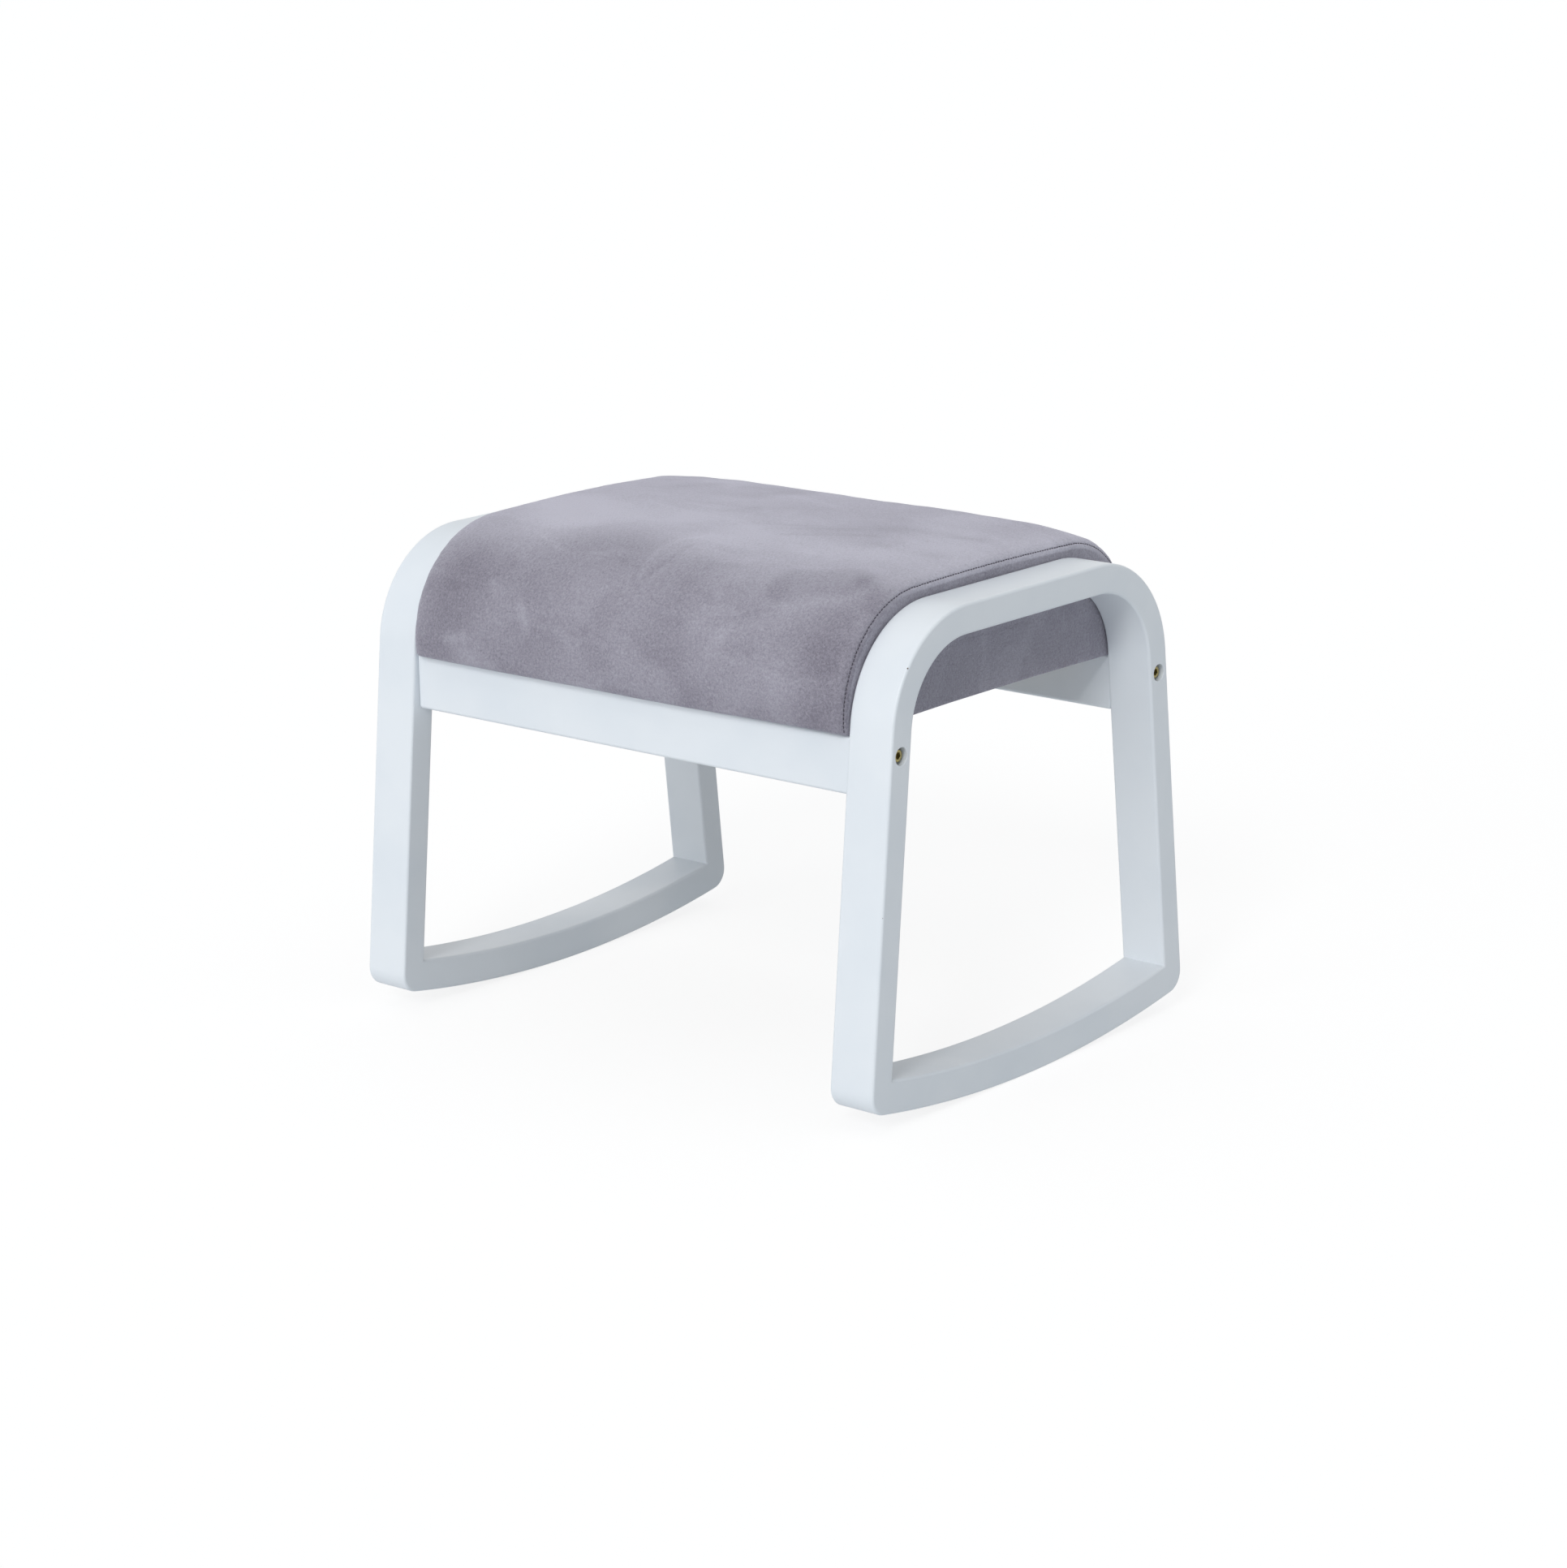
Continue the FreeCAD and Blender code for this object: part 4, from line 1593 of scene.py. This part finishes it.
    def skin(self) -> tuple[bpy.types.Object, np.ndarray, np.ndarray]:
        """Closed skin of the pad before the cloth is worked.

        Returns:
            The piece, each point's distance over the skin from the pad's middle line, and
            its place along the skin from the front hem. Both are NaN off the upper skin.
        """
        along = distances(np.hypot(*np.diff(self.outline(0.0, 0.0), axis=0).T))
        points: list[tuple[float, float, float]] = []
        over: list[float] = []
        places: list[float] = []
        for x, drawn, distance in self.stations():
            outline = self.outline(x, drawn)
            rounding, rise = self.side_rise(x)
            upper = [(x, y, max(z, self.bottom + rounding)) for y, z in outline]
            lower = []
            for y, z in self.underside(x, outline[0][0]):
                inside = float(ramp(self.rail_inner_y - abs(y), 0.0, self.rail_inner_reach))
                lower.append((x, y, z + rounding + rise * inside))
            points += upper + lower
            over += [distance] * len(upper) + [math.nan] * len(lower)
            places += list(along) + [math.nan] * len(lower)
            count = len(upper) + len(lower)
        rows = len(points) // count
        faces = grid_faces(rows, count)
        for base in (0, (rows - 1) * count):
            added = self.side_panel(points[base : base + count])
            faces += self.panel_faces(base, len(points), count, len(added) // count)
            points += added
            over += [math.nan] * len(added)
            places += [math.nan] * len(added)
        piece = new_piece("pad_cover", np.array(points), faces, merge=False)
        return piece, np.array(over), np.array(places)

    def side_panel(
        self, ring: list[tuple[float, float, float]]
    ) -> list[tuple[float, float, float]]:
        """Fill a side panel with rings.

        Args:
            ring: Outline of the panel.

        Returns:
            Points of the rings, from the outline to the spine along the panel's middle.
        """
        middle_z = (self.bottom + self.frame_top) / 2
        spine = self.half_depth - self.panel_spine_inset
        sign = math.copysign(1.0, ring[0][0])
        size_y, size_z = self.panel_dent_size
        points = []
        for share in self.panel_rings:
            for x, y, z in ring:
                target = max(-spine, min(spine, y))
                slack = noise.noise(Vector((y / size_y, z / size_z, sign)))
                slack = max(0.0, slack + self.panel_dent_bias)
                dent = min(1.0, share * self.panel_dent_rise) * slack * self.panel_dent
                y += (target - y) * share
                points.append((x - sign * dent, y, z + (middle_z - z) * share))
        return points

    def panel_faces(self, outline: int, start: int, count: int, rings: int) -> list[tuple]:
        """Number the faces of a side panel.

        Args:
            outline: Number of the first point of its outline.
            start: Number of the first point of its rings.
            count: Points in each ring.
            rings: Number of rings.

        Returns:
            Faces between the outline and the rings, and the one that closes the spine.
        """
        faces = []
        bases = [outline] + [start + ring * count for ring in range(rings)]
        for outer, inner in zip(bases, bases[1:]):
            faces += strip_faces(outer, inner, count)
        faces.append(tuple(range(bases[-1], bases[-1] + count)))
        return faces

    def press_out(self, piece: bpy.types.Object, held: np.ndarray) -> None:
        """Let the foam press the cloth out between its seams and hems.

        Args:
            piece: The skin.
            held: How firmly each point is held, from 0 to 1.
        """
        group = piece.vertex_groups.new(name="held")
        for index, weight in enumerate(held):
            group.add((index,), float(weight), "REPLACE")
        cloth = piece.modifiers.new("cloth", "CLOTH")
        cloth.settings.vertex_group_mass = group.name
        cloth.settings.quality = self.cloth_quality
        cloth.settings.mass = self.cloth_mass
        cloth.settings.tension_stiffness = self.cloth_tension
        cloth.settings.compression_stiffness = self.cloth_compression
        cloth.settings.bending_stiffness = self.cloth_bending
        cloth.settings.use_pressure = True
        cloth.settings.uniform_pressure_force = self.press_force
        cloth.settings.effector_weights.gravity = 0.0
        cloth.collision_settings.use_collision = False
        cloth.point_cache.frame_start = 1
        cloth.point_cache.frame_end = self.press_frames
        before = mesh_points(piece.data)
        for step in range(1, self.press_frames + 1):
            bpy.context.scene.frame_set(step)
        graph = bpy.context.evaluated_depsgraph_get()
        moved = mesh_points(piece.evaluated_get(graph).data) - before
        piece.modifiers.clear()
        bpy.context.scene.frame_set(1)
        length = np.linalg.norm(moved, axis=1, keepdims=True)
        limit = self.press_limit * MM
        moved *= limit * np.tanh(length / limit) / np.maximum(length, TINY)
        set_mesh_points(piece.data, before + moved)
        LOG.info("pad_cover: cloth moved by %.2f mm at most", length.max() / MM)

    def relief(self, over: np.ndarray, along: np.ndarray) -> tuple[np.ndarray, np.ndarray]:
        """Height of the seams, puckers and creases over the upper skin, and its lightness from
        nap and painted light.

        Args:
            over: Distance over the skin from the pad's middle line.
            along: Place along the skin from the front hem.

        Returns:
            Height in millimetres, and lightness with painted sheen and painted shade.
        """
        radius = self.shoulder_radius(over)
        seam = self.half_width - radius * (1 - math.radians(self.seam_angle_deg))
        away = np.abs(over) - seam
        rest = np.nanmax(along) - along
        height = sum(deep * ripple(over, along, size, seed) for deep, size, seed in self.waves)
        height *= ramp(-away, *self.wave_reach)
        groove = np.exp(-((away / self.seam_width) ** 2))
        stretched = over * self.pucker_stretch
        pucker = ripple(stretched, along, self.pucker_pitch, self.pucker_seed)
        height -= self.seam_depth * groove * (1 + self.seam_pucker_share * pucker)
        beside = np.exp(-np.abs(away) / self.pucker_reach) * (1 - groove)
        height += self.pucker_depth * pucker * beside
        deep, size, seed = self.nap_wave
        nap = deep * ripple(over, along, size, seed)
        for mark in self.marks:
            share = mark.share(over, along)
            height += mark.height * share
            nap += mark.nap * share
        # Painted sheen makes the top lighter between the front and rear hems, and painted shade
        # makes the front and rear darker
        painted_light = ramp(along, *self.painted_sheen_front_reach) * ramp(rest, *self.painted_sheen_rear_reach)
        nap += self.painted_top_sheen * painted_light - self.painted_front_rear_shade
        # Painted shade darkens the strip past each seam, beside the hoop
        nap -= self.painted_shoulder_shade * ramp(away, 0.0, 1.0)
        fade = ramp(along, *self.relief_reach) * ramp(rest, *self.relief_reach)
        fade *= 1 - ramp(away, *(radius * turn for turn in self.relief_turns))
        return height * fade, nap

    def work_cloth(self, piece: bpy.types.Object, over: np.ndarray, along: np.ndarray) -> None:
        """Press the cloth out, then lay the seams, puckers and creases on it, and its lightness
        with painted sheen and painted shade.

        Args:
            piece: The skin.
            over: Distance over the skin, NaN off the upper skin.
            along: Place along the skin, NaN off the upper skin.
        """
        upper = ~np.isnan(over)
        to_hem = np.minimum(along[upper], np.nanmax(along) - along[upper])
        to_seam = self.seam_x(self.shoulder_radius(over[upper])) - np.abs(over[upper])
        slack = ramp(to_hem, *self.cloth_free_reach) * ramp(to_seam, *self.cloth_free_reach)
        held = np.ones(len(over))
        held[upper] = 1 - self.cloth_free_share * slack
        self.press_out(piece, held)
        height, nap = self.relief(over[upper], along[upper])
        points = mesh_points(piece.data)
        normals = np.empty(len(points) * 3, np.float32)
        piece.data.vertex_normals.foreach_get("vector", normals)
        points[upper] += normals.reshape(-1, 3)[upper] * height[:, None] * MM
        points[:, 2] += self.hem_rise(*(points.T / MM)) * MM
        set_mesh_points(piece.data, points)
        # Painted shade darkens the side panels and the underside all over
        painted_light = np.full(len(points), -self.painted_side_and_under_shade, np.float32)
        painted_light[upper] = nap
        layer = piece.data.attributes.new(LIGHTNESS_LAYER, "FLOAT", "POINT")
        layer.data.foreach_set("value", painted_light)

    def hem_rise(self, x: np.ndarray, y: np.ndarray, z: np.ndarray) -> np.ndarray:
        """Rise of the front and rear hems outside the rails: a slow wave, and two corners.

        Args:
            x: Places across.
            y: Places from front to rear.
            z: Heights.

        Returns:
            Rise at each place, in millimetres.
        """
        overhang = ramp(np.abs(y) - self.rail_face_y, 0.0, self.rail_face_reach)
        low = 1 - ramp(z - self.bottom, *self.hem_wave_height)
        deep, size, seed = self.hem_wave
        wave = 0.5 + 0.5 * ripple(x, np.sign(y) * self.hem_wave_apart, size, seed)
        corner = ramp(np.abs(x), *self.hem_lift_reach) * (x * y < 0)
        return overhang * low * (deep * wave + self.hem_lift * corner)

    def seam_path(self, side: Side) -> list[Vector]:
        """Trace a seam.

        Args:
            side: Which shoulder.

        Returns:
            Its points, from the front hem over the top to the rear hem.
        """
        radius = float(self.shoulder_radius(side.value))
        x = self.seam_x(radius)
        drawn = radius * (1 - math.cos(math.radians(self.seam_angle_deg)))
        outline = self.outline(x, drawn)[self.seam_end_points : -self.seam_end_points]
        return [Vector((side.value * x, y, z)) for y, z in outline]

    def stitches(self, side: Side, cover: bpy.types.Object) -> bpy.types.Object:
        """Lay a row of stitches in the groove over a shoulder.

        Args:
            side: Which shoulder.
            cover: The pad's skin.

        Returns:
            The stitches as one piece.
        """
        skin = BVHTree.FromObject(cover, bpy.context.evaluated_depsgraph_get())
        path = self.seam_path(side)
        marks = distances([(b - a).length for a, b in zip(path, path[1:])])
        lines = np.array([list(point) for point in path])
        pitch = self.stitch_pitch
        rings = self.stitch_rings
        corners = self.stitch_corners
        points: list[Vector] = []
        faces: list[tuple] = []
        for start in np.arange(self.stitch_start, marks[-1] - pitch, pitch):
            spots = []
            for share, _ in rings:
                want = start + share * self.stitch_length
                spot = Vector([float(np.interp(want, marks, line)) for line in lines.T])
                near, normal, _, _ = skin.find_nearest(spot * MM)
                spots.append((near / MM, normal))
            along = (spots[-1][0] - spots[0][0]).normalized()
            base = len(points)
            for (near, normal), (share, width) in zip(spots, rings):
                across = along.cross(normal).normalized()
                rise = self.stitch_rise - self.stitch_arch * (share - 0.5) ** 2
                centre = near + normal * rise
                for corner in range(corners):
                    turn = 2 * math.pi * corner / corners
                    offset = across * math.cos(turn) + normal * math.sin(turn)
                    points.append(centre + offset * self.stitch_radius * width)
            faces += tube_faces(len(rings), corners, base)
        return new_piece("seam_stitches_" + side.name.lower(), np.array(points), faces)

    def build(self, microfibre: bpy.types.Material, thread: bpy.types.Material) -> None:
        """Make the pad and its stitching.

        Args:
            microfibre: Finish of the cover.
            thread: Finish of the stitches.
        """
        cover, over, along = self.skin()
        self.work_cloth(cover, over, along)
        nodes = ("cover_top_panel", "left_cover_side", "right_cover_side", "foam_block")
        settle(cover, microfibre, Slot.MICROFIBRE, *nodes)
        for side in Side:
            settle(self.stitches(side, cover), thread, Slot.MICROFIBRE)


@dataclass
class DustCover:
    """Thin cloth stretched under the seat board and stapled along its edge."""

    half_width: float = 194.1
    half_depth: float = 139.21
    top: float = 304.95
    thickness: float = 0.5
    step: float = 4.0
    slack: float = 0.35
    slack_size: float = 60.0
    slack_seed: float = 4.4
    staple_pitch: float = 48.0
    pull_reach: float = 14.0

    def drop(self, x: np.ndarray, y: np.ndarray) -> np.ndarray:
        """Work out how far the cloth hangs off the board, slack between the staples.

        Args:
            x: Places across.
            y: Places from front to rear.

        Returns:
            Drop at each place, in millimetres.
        """
        edge = np.minimum(self.half_width - np.abs(x), self.half_depth - np.abs(y))
        near = np.exp(-edge / self.pull_reach)
        beside = np.where(self.half_depth - np.abs(y) < self.half_width - np.abs(x), x, y)
        pulled = 0.5 - 0.5 * np.cos(2 * math.pi * beside / self.staple_pitch)
        loose = 0.5 + 0.5 * ripple(x, y, self.slack_size, self.slack_seed)
        return self.slack * np.clip(near * pulled + (1 - near) * loose, 0.0, 1.0)

    def build(self, spunbond: bpy.types.Material) -> bpy.types.Object:
        """Make the cloth.

        Args:
            spunbond: Finish of the cloth.

        Returns:
            The cloth as a thin closed piece.
        """
        across, along = (
            np.linspace(-half, half, round(2 * half / self.step) + 1)
            for half in (self.half_width, self.half_depth)
        )
        x, y = (grid.ravel() for grid in np.meshgrid(across, along))
        z = self.top - self.thickness - self.drop(x, y)
        faces = grid_faces(len(along), len(across), closed=False)
        piece = new_piece("dust_cloth", np.column_stack((x, y, z)), faces)
        thick = piece.modifiers.new("thickness", "SOLIDIFY")
        thick.thickness = self.thickness * MM
        thick.offset = 0.0
        bpy.context.view_layer.update()
        bake_modifiers(piece)
        settle(piece, spunbond, Slot.SPUNBOND, "dust_cover")
        return piece


# Staging


@dataclass(frozen=True)
class Softbox:
    """Wide distant lamp.

    Towards is the direction from the stool to the lamp. Level is the share of white to
    which it lights a surface that faces it. Spread is how wide it looks.
    """

    name: str
    towards: tuple[float, float, float]
    level: float
    spread_deg: float

    def build(self) -> None:
        """Add the lamp."""
        data = bpy.data.lights.new(self.name, "SUN")
        data.energy = self.level * math.pi
        data.angle = math.radians(self.spread_deg)
        lamp = bpy.data.objects.new(self.name, data)
        lamp.rotation_euler = Vector(self.towards).to_track_quat("Z", "Y").to_euler()
        bpy.context.scene.collection.objects.link(lamp)


@dataclass
class Studio:
    """Pale floor, soft daylight and the camera at the photograph's angle."""

    room_colour: str = "#F7FCFF"
    room_level: float = 0.36
    backdrop_colour: str = "#FFFFFF"
    lamps: tuple[Softbox, ...] = (
        Softbox("key_softbox", (0.3, -0.76, 0.56), 0.32, 16.0),
        Softbox("fill_softbox", (-0.15, -0.95, 0.18), 0.272, 40.0),
        Softbox("top_softbox", (0.0, 0.0, 1.0), 0.215, 80.0),
    )
    back_direction: tuple[float, float, float] = (0.62193457, -0.73906744, 0.25879859)
    roll_deg: float = -0.782
    position_mm: tuple[float, float, float] = (2056.885, -2427.247, 1044.744)
    focal_px: float = 4936.627
    photo_width_px: float = 1931.0
    sensor_mm: float = 36.0
    sight_m: float = 100.0
    floor_mm: float = 30000.0

    def camera(self) -> None:
        """Place the camera."""
        data = bpy.data.cameras.new("camera")
        data.sensor_fit = "HORIZONTAL"
        data.sensor_width = self.sensor_mm
        data.lens = self.focal_px / self.photo_width_px * self.sensor_mm
        data.clip_end = self.sight_m
        back = Vector(self.back_direction).normalized()
        right = Vector((0, 0, 1)).cross(back).normalized()
        up = back.cross(right)
        roll = math.radians(self.roll_deg)
        across = right * math.cos(roll) + up * math.sin(roll)
        upright = up * math.cos(roll) - right * math.sin(roll)
        turn = Matrix((across, upright, back)).transposed().to_4x4()
        camera = bpy.data.objects.new("camera", data)
        camera.matrix_world = Matrix.Translation(Vector(self.position_mm) * MM) @ turn
        bpy.context.scene.collection.objects.link(camera)
        bpy.context.scene.camera = camera

    def world(self) -> None:
        """White backdrop that lights the stool as a pale room does."""
        world = bpy.data.worlds.new("studio")
        bpy.context.scene.world = world
        tree = empty_tree(world)
        room, white = (
            add_node(
                tree,
                "ShaderNodeBackground",
                {"Color": linear(colour), "Strength": level},
            ).outputs[0]
            for colour, level in (
                (self.room_colour, self.room_level),
                (self.backdrop_colour, 1.0),
            )
        )
        inputs = {0: seen_directly(tree), 1: room, 2: white}
        mix = add_node(tree, "ShaderNodeMixShader", inputs)
        add_node(tree, "ShaderNodeOutputWorld", {"Surface": mix.outputs[0]})

    def floor(self) -> None:
        """White floor that keeps a faint shadow."""
        half = self.floor_mm / 2
        corners = [(-half, -half, 0), (half, -half, 0), (half, half, 0), (-half, half, 0)]
        piece = new_piece("floor", np.array(corners, float), [(0, 1, 2, 3)])
        piece.data.materials.append(BackdropPaper().build())

    def build(self) -> None:
        """Set the stage."""
        self.camera()
        self.world()
        self.floor()
        for lamp in self.lamps:
            lamp.build()
        bpy.context.scene.view_settings.view_transform = "Standard"


def dress_nodes(finishes: dict[str, bpy.types.Material]) -> None:
    """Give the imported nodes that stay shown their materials.

    Args:
        finishes: Node name and its material.
    """
    for name, material in finishes.items():
        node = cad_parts[name]
        node.data.materials.clear()
        node.data.materials.append(material)
        LOG.info("%s: %s", name, material.name)


def main() -> None:
    """Build the footstool and the stage in order."""
    logging.basicConfig(level=logging.INFO, format="%(name)s: %(message)s")
    lacquer = SatinLacquer().build()
    yellow_zinc = PlatedSteel("yellow_zinc_plated_steel", "#A89C68", "#8C8460").build()
    bright_zinc = PlatedSteel("bright_zinc_plated_steel", "#C4C8CC", "#AEB3B8").build()
    beech = PlanedWood("planed_beech", "#D8B48C", "#B88A60").build()
    pine = PlanedWood("planed_pine", "#E2C596", "#C79A62", ring_mm=6.0).build()
    for side in Side:
        SideFrame(side).build(lacquer)
    for end in End:
        CrossRail(end).build(lacquer)
        for side in Side:
            SocketBolt(side, end).build(yellow_zinc)
    Cushion().build(SuedeMicrofibre().build(), SpunThread().build())
    DustCover().build(SpunbondCloth().build())
    dress_nodes(
        {
            "rocker_tenons": beech,
            "rail_tenons": beech,
            "bolt_washers": yellow_zinc,
            "barrel_nuts": bright_zinc,
            "seat_board": BirchPlywood().build(),
            "seat_cleats": pine,
            "pad_screws": bright_zinc,
        }
    )
    Studio().build()


if __name__ == "__main__":
    main()
